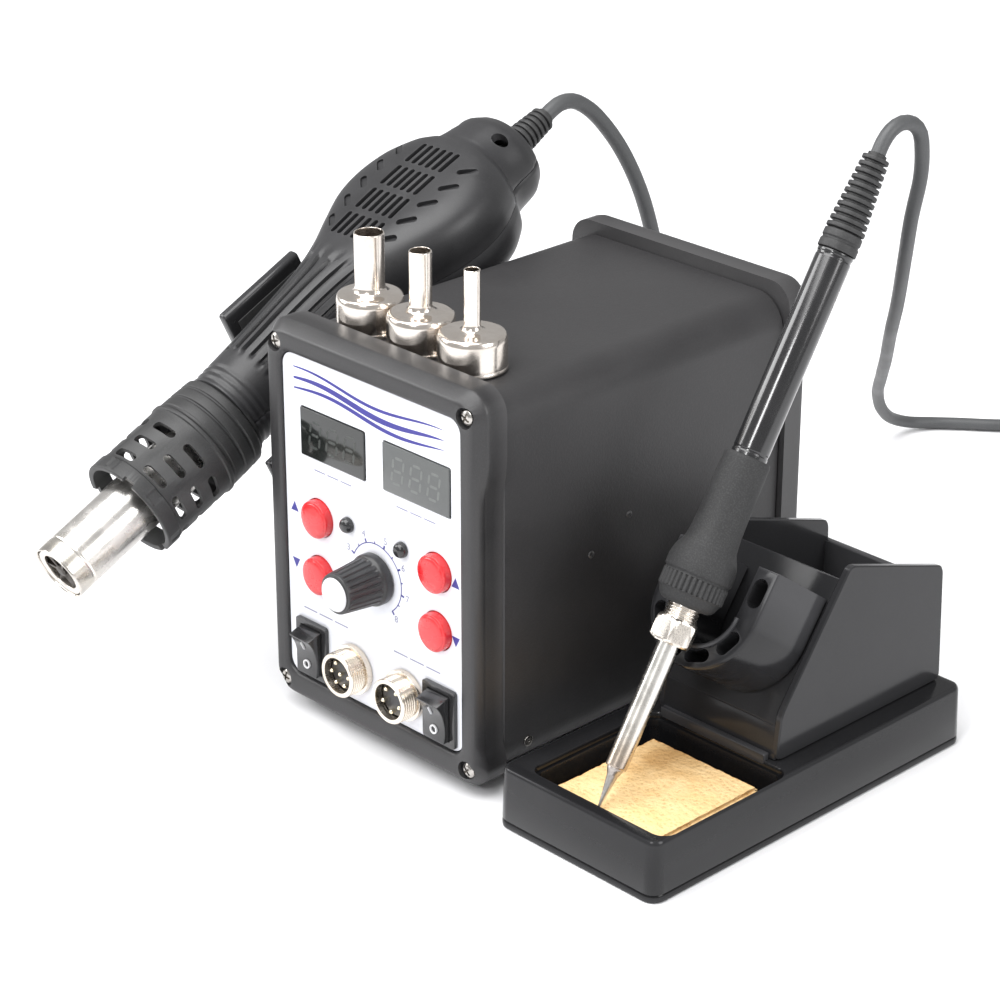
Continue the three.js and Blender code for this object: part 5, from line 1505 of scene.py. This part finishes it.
def makeInside():
    # transformer of stacked sheets with its winding, board behind the panel, potentiometer behind the knob
    floor = 7
    sheets = [block(-33, 33, 66 + k * 2.3, 68.0 + k * 2.3, floor, floor + 52) for k in range(20)]
    body = block(-32.5, 32.5, 67, 111, floor + 0.5, floor + 51.5)
    makePiece("transformerCore", joined(*sheets, body), metal("coreSheet", rearLook["iron"]),
              replaced="transformer")

    def wire(y):
        steps = ((y, 0.35), (y + 0.3, 0), (y + 0.8, 0), (y + 1.1, 0.35))
        return lofted([[(x, v, z) for x, z in roundedOutline(23 - b, floor + 11 + b, floor + 41 - b, 4 - b)]
                       for v, b in steps])
    turns = [wire(56.2 + k * 1.1) for k in [*range(8), *range(51, 59)]]
    makePiece("windings", joined(*turns), metal("windingCopper", rearLook["copper"]))
    parts = [block(-40, 40, 16, 17.6, 44, 131)]
    parts += [block(x - 3, x + 3, 10.6, 16.2, z - 3, z + 3) for x, z in panelLook["buttons"].values()]
    parts += [block(x - 15, x + 15, 3.7, 16.2, 100.3, 116.3) for x in panelLook["windows"].values()]
    makePiece("controlBoard", joined(*parts), moulded("boardGreen", rearLook["board"]),
              replaced="control_board", soften=0.2)
    profile = [(0, 10), (3.3, 10), (3.3, -2.4), (4.2, -2.4), (4.2, -0.2), (6, -0.2), (6, 1.2), (4.2, 1.2),
               (4.2, 3.6), (8, 3.6), (8, 12), (0, 12)]
    kx, kz = panelLook["knobPlace"]
    makePiece("airPotentiometer", moved(turned(rounded(profile, 0.2), 40), kx, 0, kz), screwSteel,
              replaced="air_potentiometer")
    repaint("iron_heater", coreCeramic)
    repaint("blower_rotor", moulded("rotorPlastic", rearLook["rotor"]))


makeRear()
makeInside()
print("rear and inside made")

# Floor and light
floorLook = {"colour": (0.86, 0.86, 0.87), "second": (0.84, 0.84, 0.855), "rubbed": (0.88, 0.88, 0.89),
             "grain": 3, "patch": 400, "depth": 0.01, "roughness": (0.55, 0.65), "fleck": 0.05, "wear": 0.0}
reach = 4    # metres from the middle to each edge of the floor
floorMesh = bpy.data.meshes.new("floor")
corners = ((-reach, -reach, 0), (reach, -reach, 0), (reach, reach, 0), (-reach, reach, 0))
floorMesh.from_pydata(corners, [], [(0, 1, 2, 3)])
floorMesh.materials.append(moulded("floorPaint", floorLook))
floor = bpy.data.objects.new("floor", floorMesh)
bpy.context.scene.collection.objects.link(floor)

world = bpy.data.worlds.new("studio")
world.use_nodes = True
background = world.node_tree.nodes["Background"].inputs
background["Color"].default_value = (1, 1, 1, 1)
background["Strength"].default_value = 0.5
bpy.context.scene.world = world

lamps = {    # metres and watts
    "keyLamp": {"place": (-0.2, -0.6, 1.9), "aim": (0, 0.1, 0.05), "size": 1.9, "power": 60},
    "streakLamp": {"place": (0.5, -1.24, 1.0), "aim": (0.1, 0.05, 0.15), "size": 0.28, "power": 6},
    "sideLamp": {"place": (1.7, 0.3, 0.9), "aim": (0, 0, 0.08), "size": 0.9, "power": 15},
    "leftLamp": {"place": (-1.3, -0.8, 0.8), "aim": (0, 0, 0.1), "size": 0.8, "power": 14},
}
for name, lamp in lamps.items():
    light = bpy.data.lights.new(name, "AREA")
    light.size = lamp["size"]
    light.energy = lamp["power"]
    holder = bpy.data.objects.new(name, light)
    bpy.context.scene.collection.objects.link(holder)
    holder.location = lamp["place"]
    holder.rotation_euler = (Vector(lamp["aim"]) - Vector(lamp["place"])).to_track_quat("-Z", "Y").to_euler()
bpy.context.scene.view_settings.view_transform = "Standard"
print("floor and lights set")
